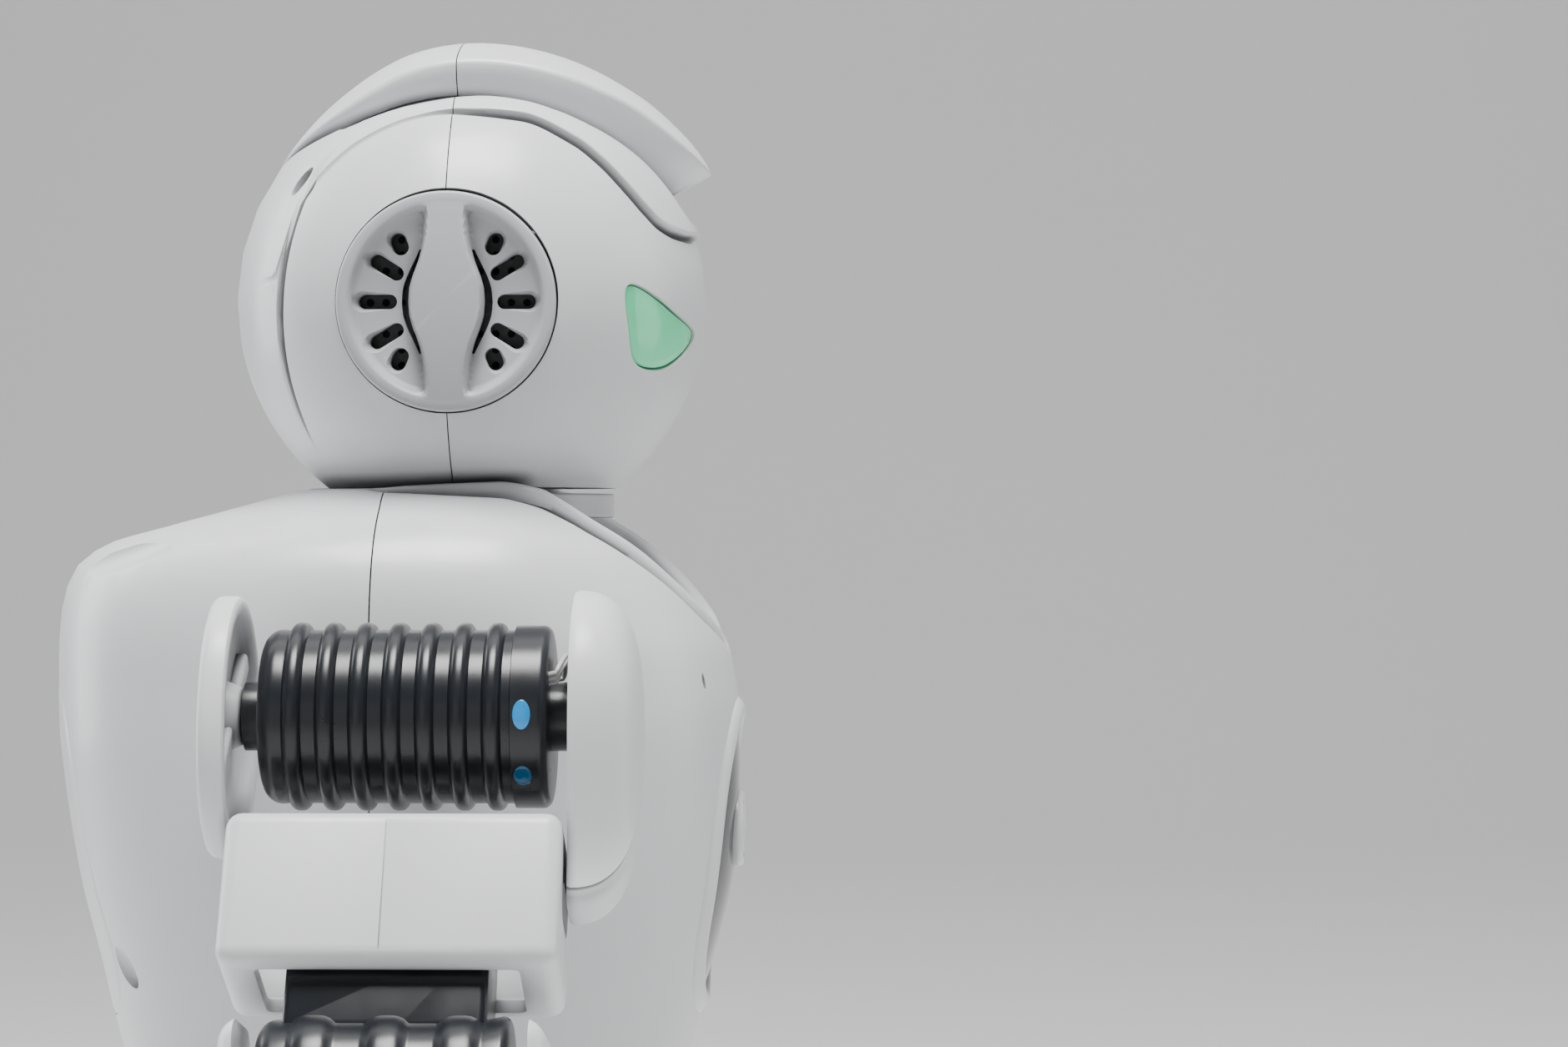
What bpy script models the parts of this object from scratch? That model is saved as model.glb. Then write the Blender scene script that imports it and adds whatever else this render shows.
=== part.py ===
"""Small two wheel companion robot: ball head with a crest, rounded torso with a collar,
two servo arms and a two wheel drive base. Works in millimetres, written out in metres.
The robot faces +X, its right side is -Y, and the wheels and casters stand on z = 0."""
import bpy
import bmesh
from math import sin, cos, pi, sqrt, radians, atan2
from mathutils import Matrix, Vector

# ---------------------------------------------------------------- driving dimensions, mm
U = 0.001
HX, HZ = 12.4, 262.0            # head centre
HEAD_R, HEAD_WALL = 45.0, 2.4
HEAD_CUT = -34.5                # flat cut under the ball, from the head centre
HEAD_SEAM = HX - 0.8            # plane between the front and back shells
EAR_R = 20.3
EAR_Z = HZ - 1.5                 # height of the ear axis
GAP = 0.35                      # between neighbouring pieces
TORSO_SEAM = -1.0
TORSO_WALL = 2.2
SH_X, SH_Y, SH_Z = 9.3, 78.0, HZ - 76.0   # centre of the shoulder drum, Y mirrored
DRUM_R, DRUM_L = 16.4, 25.0     # radius and half length of the shoulder drum
ARM_OUT = radians(30.0)         # upper arm, outward from straight down
FORE_OUT = radians(15.0)        # forearm, outward from straight down
ELBOW_L = 70.0                  # shoulder axis to elbow axis
ELB_R, ELB_L = 13.0, 21.0
WHEEL_R, WHEEL_Z = 38.0, 38.0
WHEEL_IN, WHEEL_OUT = 57.5, 75.5
CASTER_X, BALL_R = 42.0, 9.0
PLATE_Z0, PLATE_Z1 = 20.3, 23.5
BASE_TOP = 90.0
BUTTON_Z = HZ - 101.0
CHEST_Z, CHEST_HZ, CHEST_HY = HZ - 106.0, 26.0, 17.0
BACK_Z, BACK_HZ, BACK_HY = HZ - 104.0, 32.0, 27.0

for o in list(bpy.data.objects):
    bpy.data.objects.remove(o, do_unlink=True)

# ---------------------------------------------------------------- helpers
MATS = {}


def material(name, rgb, rough, metal=0.0):
    if name not in MATS:
        m = bpy.data.materials.new(name)
        m.use_nodes = True
        b = m.node_tree.nodes["Principled BSDF"]
        b.inputs["Base Color"].default_value = (*rgb, 1)
        b.inputs["Roughness"].default_value = rough
        b.inputs["Metallic"].default_value = metal
        MATS[name] = m
    return MATS[name]


LOOK = {
    "white_shell": ((0.80, 0.80, 0.81), 0.30, 0.0),
    "ear_plastic": ((0.62, 0.63, 0.65), 0.40, 0.0),
    "grille_mesh": ((0.03, 0.03, 0.035), 0.60, 0.3),
    "eye_lens": ((0.45, 0.85, 0.62), 0.15, 0.0),
    "black_servo": ((0.015, 0.017, 0.02), 0.35, 0.0),
    "gloss_black": ((0.01, 0.01, 0.012), 0.08, 0.0),
    "frame_metal": ((0.55, 0.56, 0.58), 0.35, 0.9),
    "circuit": ((0.02, 0.12, 0.07), 0.45, 0.0),
    "battery": ((0.08, 0.10, 0.30), 0.40, 0.0),
    "tyre_rubber": ((0.02, 0.02, 0.02), 0.85, 0.0),
    "steel": ((0.6, 0.6, 0.62), 0.2, 1.0),
    "lead": ((0.75, 0.75, 0.74), 0.5, 0.0),
}


def from_bm(name, bm, look, pivot=(0, 0, 0)):
    """Object from a bmesh in world millimetres, with its origin at pivot."""
    bmesh.ops.recalc_face_normals(bm, faces=bm.faces[:])
    p = Vector(pivot)
    for v in bm.verts:
        v.co = (v.co - p) * U
    me = bpy.data.meshes.new(name)
    bm.to_mesh(me)
    bm.free()
    ob = bpy.data.objects.new(name, me)
    bpy.context.scene.collection.objects.link(ob)
    ob.location = p * U
    if look:
        me.materials.append(material(look, *LOOK[look]))
        me.shade_smooth()
        me.set_sharp_from_angle(angle=radians(35))
    return ob


def grid_solid(bm, outer, inner, closed_u=False):
    """Closed body between two grids of points of the same size (rows of columns)."""
    def add(g):
        return [[bm.verts.new(p) for p in row] for row in g]
    a, b = add(outer), add(inner)
    n, m = len(a), len(a[0])
    cols = m if closed_u else m - 1
    for i in range(n - 1):
        for j in range(cols):
            k = (j + 1) % m
            bm.faces.new((a[i][j], a[i][k], a[i + 1][k], a[i + 1][j]))
            bm.faces.new((b[i][j], b[i + 1][j], b[i + 1][k], b[i][k]))
    for j in range(cols):
        k = (j + 1) % m
        bm.faces.new((a[0][j], b[0][j], b[0][k], a[0][k]))
        bm.faces.new((a[-1][j], a[-1][k], b[-1][k], b[-1][j]))
    if not closed_u:
        for i in range(n - 1):
            bm.faces.new((a[i][0], a[i + 1][0], b[i + 1][0], b[i][0]))
            bm.faces.new((a[i][-1], b[i][-1], b[i + 1][-1], a[i + 1][-1]))
    return bm


def ring_loft(bm, rings):
    """Closed body through rings of the same number of points, capped at both ends."""
    vs = [[bm.verts.new(p) for p in r] for r in rings]
    m = len(vs[0])
    for i in range(len(vs) - 1):
        for j in range(m):
            k = (j + 1) % m
            bm.faces.new((vs[i][j], vs[i][k], vs[i + 1][k], vs[i + 1][j]))
    bm.faces.new(list(reversed(vs[0])))
    bm.faces.new(vs[-1])
    return bm


AX = {"X": lambda a, r, t: (a, r * cos(t), r * sin(t)),
      "Y": lambda a, r, t: (r * sin(t), a, r * cos(t)),
      "Z": lambda a, r, t: (r * cos(t), r * sin(t), a)}


def turned(bm, profile, axis, centre, segs, phase=0.0):
    """Profile of (along, radius) points turned about an axis. Radius 0 ends close the body,
    otherwise the profile itself is a closed loop."""
    f = AX[axis]
    c = Vector(centre)
    open_ends = profile[0][1] < 1e-6 and profile[-1][1] < 1e-6
    rows = []
    for a, r in profile:
        if r < 1e-6:
            rows.append([bm.verts.new(c + Vector(f(a, 0, 0)))])
        else:
            rows.append([bm.verts.new(c + Vector(f(a, r, phase + 2 * pi * j / segs)))
                         for j in range(segs)])
    pairs = list(zip(rows, rows[1:]))
    if not open_ends:
        pairs.append((rows[-1], rows[0]))
    for p, q in pairs:
        for j in range(segs):
            k = (j + 1) % segs
            if len(p) == 1:
                bm.faces.new((p[0], q[j], q[k]))
            elif len(q) == 1:
                bm.faces.new((p[j], q[0], p[k]))
            else:
                bm.faces.new((p[j], q[j], q[k], p[k]))
    return bm


def block(bm, lo, hi, bevel=0.0, segs=2):
    """Box between two corners with rounded edges."""
    r = bmesh.ops.create_cube(bm, size=1.0)
    vs = r["verts"]
    for v in vs:
        v.co = Vector([lo[i] + (v.co[i] + 0.5) * (hi[i] - lo[i]) for i in range(3)])
    if bevel > 0:
        es = list({e for v in vs for e in v.link_edges})
        bmesh.ops.bevel(bm, geom=es, offset=bevel, segments=segs, profile=0.5, affect="EDGES")
    return bm


def prism(bm, outline, lo, hi, axis="X"):
    """Outline of 2D points pushed along an axis from lo to hi."""
    put = {"X": lambda p, a: (a, p[0], p[1]), "Y": lambda p, a: (p[0], a, p[1]),
           "Z": lambda p, a: (p[0], p[1], a)}[axis]
    ring_loft(bm, [[put(p, lo) for p in outline], [put(p, hi) for p in outline]])
    return bm


def B():
    return bmesh.new()


def boolean(ob, bm_tool, op="DIFFERENCE"):
    """Cuts or joins a tool, then keeps the result as the object's mesh."""
    tool = from_bm("tool", bm_tool, None)
    tool.hide_render = True
    tool.display_type = "WIRE"
    md = ob.modifiers.new("cut", "BOOLEAN")
    md.operation = op
    md.solver = "EXACT"
    md.object = tool
    bpy.context.view_layer.update()
    dg = bpy.context.evaluated_depsgraph_get()
    me = bpy.data.meshes.new_from_object(ob.evaluated_get(dg))
    ob.modifiers.clear()
    old = ob.data
    ob.data = me
    me.name = ob.name
    bpy.data.meshes.remove(old)
    bpy.data.objects.remove(tool, do_unlink=True)
    bm = bmesh.new()
    bm.from_mesh(me)
    bmesh.ops.remove_doubles(bm, verts=bm.verts[:], dist=2e-6)
    bmesh.ops.dissolve_degenerate(bm, edges=bm.edges[:], dist=2e-6)
    bm.to_mesh(me)
    bm.free()
    return ob


def interp(x, table):
    """Smooth value at x from sorted (x, value, ...) rows, all columns."""
    n = len(table)
    if x <= table[0][0]:
        return table[0][1:]
    if x >= table[-1][0]:
        return table[-1][1:]
    for i in range(n - 1):
        x0, x1 = table[i][0], table[i + 1][0]
        if x0 <= x <= x1:
            t = (x - x0) / (x1 - x0)
            out = []
            for k in range(1, len(table[0])):
                y0, y1 = table[i][k], table[i + 1][k]
                s = (y1 - y0) / (x1 - x0)
                sl = (y0 - table[i - 1][k]) / (x0 - table[i - 1][0]) if i else s
                sr = (table[i + 2][k] - y1) / (table[i + 2][0] - x1) if i < n - 2 else s
                m0 = 0 if sl * s <= 0 else 2 * sl * s / (sl + s)
                m1 = 0 if sr * s <= 0 else 2 * sr * s / (sr + s)
                h = x1 - x0
                out.append((2 * t**3 - 3 * t**2 + 1) * y0 + (t**3 - 2 * t**2 + t) * h * m0
                           + (-2 * t**3 + 3 * t**2) * y1 + (t**3 - t**2) * h * m1)
            return tuple(out)


SIDES = (("right", -1.0), ("left", 1.0))

# ---------------------------------------------------------------- head
HEAD = Vector((HX, 0, HZ))
EAR0 = Vector((HEAD_SEAM, 0, EAR_Z))
EAR_HOLE = EAR_R + GAP


def head_point(theta, alpha, radius):
    """Point on a ball about the head centre, seen from the ear axis. theta turns from +X
    up towards +Z, alpha runs from the right ear (0) to the left ear (pi)."""
    d = Vector((sin(alpha) * cos(theta), -cos(alpha), sin(alpha) * sin(theta)))
    o = EAR0 - HEAD
    b = o.dot(d)
    t = -b + sqrt(b * b - (o.length_squared - radius * radius))
    return EAR0 + d * t


def head_shell(name, t0, t1):
    n, m = 13, 14
    outer, inner = [], []
    for i in range(n):
        th = t0 + (t1 - t0) * i / (n - 1)
        for g, r in ((outer, HEAD_R), (inner, HEAD_R - HEAD_WALL)):
            x, z = EAR_HOLE * cos(th) + HEAD_SEAM - HX, EAR_HOLE * sin(th) + EAR_Z - HZ
            a0 = atan2(EAR_HOLE, sqrt(r * r - x * x - z * z))
            g.append([head_point(th, a0 + (pi - 2 * a0) * j / (m - 1), r) for j in range(m)])
    # the two shells stand a gap apart across the seam plane
    sh = GAP / 2 if t0 < 0 < t1 else -GAP / 2
    for g in (outer, inner):
        for r in g:
            for q in r:
                if abs(q.x - HEAD_SEAM) < abs(sh) + 0.01:
                    q.x = HEAD_SEAM + sh
    ob = from_bm(name, grid_solid(B(), outer, inner), "white_shell", HEAD)
    return boolean(ob, block(B(), (HX - 60, -60, HZ - 80), (HX + 60, 60, HZ + HEAD_CUT)))


front = head_shell("head_shell_front", -pi / 2, pi / 2)
back = head_shell("head_shell_back", pi / 2, 1.5 * pi)

# eye outline on the ball: azimuth out from straight ahead and elevation, degrees
EYE = [(44.6, 1.6), (41.6, 2.5), (33.6, -0.3), (24.6, -3.9), (15.1, -6.9), (13.2, -8.3),
       (14.8, -10.9), (20.2, -14.3), (26.4, -16.8), (32.6, -17.5), (37.8, -16.7),
       (41.2, -13.9), (43.2, -8.5), (44.8, -2.5)]
EYE_C = (31.1, -7.8)


def ball_point(az, el, r, s):
    a, e = radians(az), radians(el)
    return HEAD + r * Vector((cos(e) * cos(a), s * cos(e) * sin(a), sin(e)))


def eye_solid(s, r0, r1, grow, rings):
    bm = B()
    layers = []
    for r in (r1, r0):
        rows = [[bm.verts.new(ball_point(EYE_C[0], EYE_C[1], r, s))]]
        for k in range(1, rings + 1):
            f = k / rings
            row = []
            for az, el in EYE:
                da, de = az - EYE_C[0], el - EYE_C[1]
                ln = sqrt(da * da + de * de)
                g = f * (1 + grow / (r * radians(1) * ln))
                row.append(bm.verts.new(ball_point(EYE_C[0] + da * g, EYE_C[1] + de * g, r, s)))
            rows.append(row)
        layers.append(rows)
    m = len(EYE)
    for rows in layers:
        for j in range(m):
            k = (j + 1) % m
            bm.faces.new((rows[0][0], rows[1][j], rows[1][k]))
            for i in range(1, rings):
                bm.faces.new((rows[i][j], rows[i + 1][j], rows[i + 1][k], rows[i][k]))
    for j in range(m):
        k = (j + 1) % m
        bm.faces.new((layers[0][-1][j], layers[1][-1][j], layers[1][-1][k], layers[0][-1][k]))
    return bm


for side, s in SIDES:
    boolean(front, eye_solid(s, 38.0, 50.0, 0.0, 2))
    from_bm("eye_lens_" + side, eye_solid(s, 42.4, 44.8, -GAP, 3), "eye_lens", HEAD)

# crest: a raised cap along the top of the head, its front edge standing out as a brow
CREST = [(28.2, 52.6, 3.0), (29.4, 52.8, 6.8), (32.0, 52.8, 10.4), (38.0, 52.5, 13.8),
         (48.0, 51.8, 16.8), (60.0, 51.2, 19.8), (75.0, 50.8, 22.0), (90.0, 50.4, 22.8),
         (102.0, 49.7, 22.4), (112.0, 48.4, 20.8), (121.0, 47.1, 17.6), (128.0, 46.4, 13.2),
         (133.5, 46.1, 7.5)]


def crest_solid():
    outer, inner = [], []
    m = 9
    for th, rho, hw in CREST:
        t = radians(th)
        ro, ri = [], []
        for j in range(m):
            y = hw * sin(pi / 2 * (2 * j / (m - 1) - 1))
            e = 1.2 if j in (0, m - 1) else 0.0
            qo = sqrt(max(rho - e, HEAD_R + 0.8) ** 2 - y * y)
            qi = sqrt((HEAD_R + GAP + 0.15) ** 2 - y * y)
            ro.append(HEAD + Vector((qo * cos(t), y, qo * sin(t))))
            ri.append(HEAD + Vector((qi * cos(t), y, qi * sin(t))))
        outer.append(ro)
        inner.append(ri)
    return from_bm("head_crest", grid_solid(B(), outer, inner), "white_shell", HEAD)


crest_solid()


def capsule(p, q, w, n=5):
    """Outline of a slot of width w from p to q, in 2D."""
    d = atan2(q[1] - p[1], q[0] - p[0])
    out = []
    for k in range(n + 1):
        a = d + pi / 2 + pi * k / n
        out.append((p[0] + w / 2 * cos(a), p[1] + w / 2 * sin(a)))
    for k in range(n + 1):
        a = d - pi / 2 + pi * k / n
        out.append((q[0] + w / 2 * cos(a), q[1] + w / 2 * sin(a)))
    return out


# grille slots of one ear: x forward and z up from the ear axis, with their widths
SLOTS = []
for sx in (-1, 1):
    SLOTS += [((sx * 8.6, 10.2), (sx * 8.9, 11.0), 3.2), ((sx * 9.6, 5.3), (sx * 12.6, 7.1), 2.9),
              ((sx * 10.6, 0.0), (sx * 14.8, 0.0), 3.0), ((sx * 9.6, -5.3), (sx * 12.6, -7.1), 2.9),
              ((sx * 8.6, -10.2), (sx * 8.9, -11.0), 3.2)]
BRIDGE = [(3.2, 16.8), (3.4, 12.5), (4.6, 8.5), (6.0, 4.5), (6.4, 0.0)]


def ear(side, s):
    c = (HEAD_SEAM, 0, EAR_Z)
    y = lambda d: s * d
    prof = [(y(36.2), 0), (y(36.2), EAR_R - 1.5), (y(36.2), EAR_R), (y(40.6), EAR_R),
            (y(41.1), EAR_R - 0.5), (y(41.1), EAR_R - 1.1), (y(40.2), EAR_R - 1.7),
            (y(38.6), EAR_R - 4.0), (y(38.4), 6.0), (y(38.4), 0)]
    ob = from_bm("ear_cover_" + side, turned(B(), prof, "Y", c, 20), "ear_plastic", EAR0)
    half = BRIDGE + [(w, -z) for w, z in reversed(BRIDGE[:-1])]
    out = [(HEAD_SEAM + w, EAR_Z + z) for w, z in half] + [(HEAD_SEAM - w, EAR_Z + z) for w, z in reversed(half)]
    inn = [(HEAD_SEAM + (px - HEAD_SEAM) * 0.72, EAR_Z + (pz - EAR_Z) * 0.98) for px, pz in out]
    bm = B()
    ring_loft(bm, [[(a, y(37.0), b) for a, b in out], [(a, y(41.6), b) for a, b in out],
                   [(a, y(43.4), b) for a, b in inn]])
    boolean(ob, bm, "UNION")
    for p, q, w in SLOTS:
        bm = prism(B(), [(HEAD_SEAM + a, EAR_Z + b) for a, b in capsule(p, q, w, 2)],
                   y(30.0), y(46.0), "Y")
        boolean(ob, bm)
    sp = [(y(31.0), 0), (y(31.0), 15.0), (y(33.0), 18.3), (y(35.8), 18.3), (y(35.8), 16.8),
          (y(34.2), 15.6), (y(34.0), 0)]
    from_bm("ear_speaker_" + side, turned(B(), sp, "Y", c, 16), "grille_mesh", EAR0)


for side, s in SIDES:
    ear(side, s)

from_bm("eye_board", block(B(), (HX + 27.0, -22.0, HZ - 12.0), (HX + 28.8, 22.0, HZ + 3.0), 0.5, 1),
        "circuit", HEAD)
ob = from_bm("head_tilt_servo", block(B(), (HX - 14, -11.5, HZ - 11), (HX + 14, 11.5, HZ + 13), 1.5, 1),
             "black_servo", HEAD)
boolean(ob, turned(B(), [(-15.6, 0), (-15.6, 5.5), (15.6, 5.5), (15.6, 0)], "Y", (HX, 0, HZ), 12), "UNION")
boolean(ob, block(B(), (HX - 22, -7, HZ + 8), (HX + 26.6, 7, HZ + 10.5), 0.5, 1), "UNION")

# neck: a yoke turned by the pan servo, and the ring that closes the gap under the ball
NECK = (HX, 0, HZ - 42.0)
ob = from_bm("neck_yoke", turned(B(), [(-46.5, 0), (-46.5, 9.0), (-44.2, 9.0), (-44.2, 21.0),
                                       (-41.6, 21.0), (-41.6, 0)], "Z", (HX, 0, HZ), 18),
             "frame_metal", NECK)
for s in (-1, 1):
    lo, hi = sorted((s * 16.0, s * 18.4))
    boolean(ob, block(B(), (HX - 5, lo, HZ - 43.0), (HX + 5, hi, HZ + 7), 0.6, 1), "UNION")
from_bm("neck_ring", turned(B(), [(-41.2, 21.4), (-41.2, 27.4), (-37.0, 27.4), (-36.5, 27.1),
                                  (-37.4, 25.9), (-39.6, 24.0), (-39.6, 21.4)], "Z", (HX, 0, HZ), 24),
        "white_shell", NECK)

# ---------------------------------------------------------------- torso
# height from the head centre: back, front (from the head centre), half width, roundness
TORSO = [(-166.0, -50.0, 26.0, 30.0, 2.2), (-164.0, -55.0, 31.0, 33.0, 2.25),
         (-156.0, -62.0, 37.2, 38.0, 2.3), (-143.0, -67.2, 42.3, 42.5, 2.35),
         (-125.0, -71.6, 46.6, 47.0, 2.4), (-110.0, -75.4, 49.4, 50.5, 2.4),
         (-95.0, -78.0, 50.8, 53.0, 2.4), (-80.0, -79.6, 51.6, 54.4, 2.4),
         (-68.0, -79.5, 50.0, 54.4, 2.4), (-58.0, -79.0, 46.3, 53.0, 2.4),
         (-51.0, -77.0, 42.6, 50.5, 2.4), (-46.5, -71.5, 39.8, 47.5, 2.35),
         (-42.5, -57.0, 36.6, 43.0, 2.2), (-39.5, -46.0, 34.8, 38.5, 2.1),
         (-37.4, -38.5, 33.9, 35.5, 2.05), (-36.0, -34.0, 33.0, 33.0, 2.0)]
NECKLINE = [(0.0, -64.0), (15.0, -57.8), (30.0, -48.6), (40.0, -43.8), (49.0, -40.2),
            (60.0, -37.4), (75.0, -36.05), (180.0, -36.0)]


def torso_point(phi, v, inset=0.0):
    """Point of the torso surface at angle phi from straight ahead and height v."""
    bk, fr, hw, n = interp(v, TORSO)
    cx, a, b = (fr + bk) / 2, (fr - bk) / 2 - inset, hw - inset
    c, s = cos(phi), sin(phi)
    e = 2.0 / n
    x = cx + a * (abs(c) ** e) * (1 if c >= 0 else -1)
    y = b * (abs(s) ** e) * (1 if s >= 0 else -1)
    return Vector((HX + x, y, HZ + v))


def torso_x(y, v, front, inset=0.0):
    """Surface x at a lateral place and height, on the chest or on the back."""
    bk, fr, hw, n = interp(v, TORSO)
    cx, a, b = (fr + bk) / 2, (fr - bk) / 2 - inset, hw - inset
    f = max(0.0, 1 - abs(y / b) ** n) ** (1 / n)
    return HX + cx + (a if front else -a) * f


ROWS = 10


def neck_v(phi):
    return interp(abs((phi + pi) % (2 * pi) - pi) * 180 / pi, NECKLINE)[0]


def torso_rows(phi):
    top = neck_v(phi)
    vals = []
    for i in range(ROWS):
        t = i / (ROWS - 1)
        # rows lie closer together near the shoulder and at the foot
        w = 0.5 - 0.5 * cos(pi * t)
        f = 0.55 * t ** 1.35 + 0.45 * w
        vals.append(top + (-166.0 - top) * f)
    return vals


def torso_shell(name, p0, p1, cols):
    outer, inner = [], []
    for j in range(cols):
        phi = p0 + (p1 - p0) * j / (cols - 1)
        vals = torso_rows(phi)
        oc, ic = [], []
        for v in vals:
            o = torso_point(phi, v)
            # wall direction: inward and, where the surface is flat on top, downward
            e = 0.6
            n1 = torso_point(phi, min(v + e, neck_v(phi))) - torso_point(phi, max(v - e, -166.0))
            n2 = torso_point(phi + 0.02, v) - torso_point(phi - 0.02, v)
            nn = n2.cross(n1)
            nn.normalize()
            if nn.dot(o - Vector((HX - 14, 0, o.z))) < 0:
                nn = -nn
            nn.z = min(max(nn.z, -0.35), 0.85)
            nn.normalize()
            oc.append(o)
            ic.append(o - nn * TORSO_WALL)
        outer.append(oc)
        inner.append(ic)
    return from_bm(name, grid_solid(B(), outer, inner), "white_shell", (0, 0, HZ - 100))


tf = torso_shell("torso_shell_front", radians(-118), radians(118), 17)
tb = torso_shell("torso_shell_back", radians(62), radians(298), 17)
boolean(tf, block(B(), (-150, -90, 60), (TORSO_SEAM + GAP / 2, 90, 260)))
boolean(tb, block(B(), (TORSO_SEAM - GAP / 2, -90, 60), (150, 90, 260)))

# collar: the band that lines the neckline
def collar():
    n = 28
    rings = []
    for k in range(n):
        phi = 2 * pi * k / n
        p = torso_point(phi, neck_v(phi))
        ax = Vector((HX, 0, p.z))
        e = (ax - p)
        e.normalize()
        z = Vector((0, 0, 1))
        rings.append([p + e * 2.6 + z * 0.9, p + e * 3.2 + z * 1.3, p + e * 4.8 + z * 0.2,
                      p + e * 4.9 - z * 1.6, p + e * 3.9 - z * 3.4, p + e * 2.6 - z * 3.0])
    bm = B()
    vs = [[bm.verts.new(q) for q in r] for r in rings]
    for i in range(n):
        a, b = vs[i], vs[(i + 1) % n]
        for j in range(6):
            k = (j + 1) % 6
            bm.faces.new((a[j], a[k], b[k], b[j]))
    return from_bm("collar_ring", bm, "white_shell", (0, 0, HZ - 40))


collar()


def patch(name, look, zc, hz, hy, front, lift, thick, grow=0.0, segs=20, rings=2, power=2.8):
    """Plate that follows the torso surface inside a rounded outline."""
    bm = B()
    s = 1 if front else -1
    lay = []
    for off in (lift, lift - thick):
        rows = []
        for i in range(rings + 1):
            f = i / rings
            if i == 0:
                rows.append([bm.verts.new((torso_x(0, zc - HZ, front) + s * off, 0, zc))])
                continue
            row = []
            for j in range(segs):
                t = 2 * pi * j / segs
                c, q = cos(t), sin(t)
                y = f * (hy + grow) * abs(c) ** (2 / power) * (1 if c >= 0 else -1)
                z = f * (hz + grow) * abs(q) ** (2 / power) * (1 if q >= 0 else -1)
                row.append(bm.verts.new((torso_x(y, zc + z - HZ, front) + s * off, y, zc + z)))
            rows.append(row)
        lay.append(rows)
    for rows in lay:
        for j in range(segs):
            k = (j + 1) % segs
            bm.faces.new((rows[0][0], rows[1][j], rows[1][k]))
            for i in range(1, rings):
                bm.faces.new((rows[i][j], rows[i + 1][j], rows[i + 1][k], rows[i][k]))
    for j in range(segs):
        k = (j + 1) % segs
        bm.faces.new((lay[0][-1][j], lay[1][-1][j], lay[1][-1][k], lay[0][-1][k]))
    if not name:
        return bm
    return from_bm(name, bm, look, (0, 0, zc))


boolean(tf, patch("", "", CHEST_Z, CHEST_HZ, CHEST_HY, True, 8.0, 20.0, GAP))
cp = patch("chest_panel", "gloss_black", CHEST_Z, CHEST_HZ, CHEST_HY, True, -0.6, 2.4)
BX = torso_x(0, BUTTON_Z - HZ, True)
boolean(cp, turned(B(), [(BX - 12, 0), (BX - 12, 7.8), (BX + 12, 7.8), (BX + 12, 0)], "X", (0, 0, BUTTON_Z), 28))
from_bm("chest_ring", turned(B(), [(BX - 4.5, 7.4), (BX + 1.4, 7.4), (BX + 2.2, 6.8), (BX + 2.2, 6.1),
                                   (BX + 0.9, 5.6), (BX - 4.5, 5.6)], "X", (0, 0, BUTTON_Z), 20),
        "white_shell", (BX, 0, BUTTON_Z))
from_bm("chest_button", turned(B(), [(BX - 4.2, 0), (BX - 4.2, 5.2), (BX + 1.6, 5.2), (BX + 2.3, 4.5),
                                     (BX + 2.6, 2.5), (BX + 2.6, 0)], "X", (0, 0, BUTTON_Z), 16),
        "white_shell", (BX, 0, BUTTON_Z))
boolean(tb, patch("", "", BACK_Z, BACK_HZ, BACK_HY, False, 8.0, 20.0, GAP, power=4.5))
from_bm("battery_pack", block(B(), (HX - 63, -19, HZ - 130), (HX - 42, 19, HZ - 84), 2.0, 1),
        "battery", (HX - 55, 0, HZ - 108))
patch("back_panel", "white_shell", BACK_Z, BACK_HZ, BACK_HY, False, 0.3, 2.4, power=4.5)
from_bm("main_board", block(B(), (HX + 28, -24, HZ - 140), (HX + 29.8, 24, HZ - 92), 0.5, 1),
        "circuit", (HX + 29, 0, HZ - 116))
from_bm("neck_pan_servo", block(B(), (HX - 12, -7, HZ - 71), (HX + 18, 7, HZ - 47.0), 1.2, 1),
        "black_servo", (HX, 0, HZ - 59))

for side, s in SIDES:
    bm = turned(B(), [(s * 44, 0), (s * 44, 9.2), (s * 62, 9.2), (s * 62, 0)], "Y", (SH_X, 0, SH_Z), 20)
    boolean(tf, bm)
    lo, hi = sorted((s * 23.0, s * 45.0))
    ob = from_bm("shoulder_pitch_servo_" + side,
                 block(B(), (SH_X - 10, lo, SH_Z - 11), (SH_X + 16, hi, SH_Z + 11), 1.2, 1),
                 "black_servo", (SH_X, s * 38, SH_Z))
    boolean(ob, turned(B(), [(s * 43, 0), (s * 43, 6), (s * 50.2, 6), (s * 50.2, 0)], "Y",
                       (SH_X, 0, SH_Z), 14), "UNION")

# spine: a post from the base plate with a cross rail between the shoulder servos
ob = from_bm("spine_frame", block(B(), (-14, -8, PLATE_Z1 + GAP), (2, 8, 185), 1.0, 1), "frame_metal", (0, 0, 100))
boolean(ob, block(B(), (-12, -22.6, 176), (16, 22.6, 188), 1.0, 1), "UNION")
from_bm("waist_ring", turned(B(), [(BASE_TOP + GAP, 17.0), (BASE_TOP + GAP, 27.0), (92.6, 28.0),
                                   (95.6, 27.0), (95.6, 17.0)], "Z", (0, 0, 0), 20),
        "gloss_black", (0, 0, 93))

# ---------------------------------------------------------------- arms
def arm_frame(s, out, pivot):
    """Maps arm coordinates (x, outward face t, along the limb l) to the world."""
    d = Vector((0, s * sin(out), -cos(out)))
    t = Vector((0, s * cos(out), sin(out)))
    p = Vector(pivot)
    return Matrix(((1, t.x, d.x, p.x), (0, t.y, d.y, p.y), (0, t.z, d.z, p.z), (0, 0, 0, 1)))


def place(bm, m):
    bmesh.ops.transform(bm, matrix=m, verts=bm.verts[:])
    return bm


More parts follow.
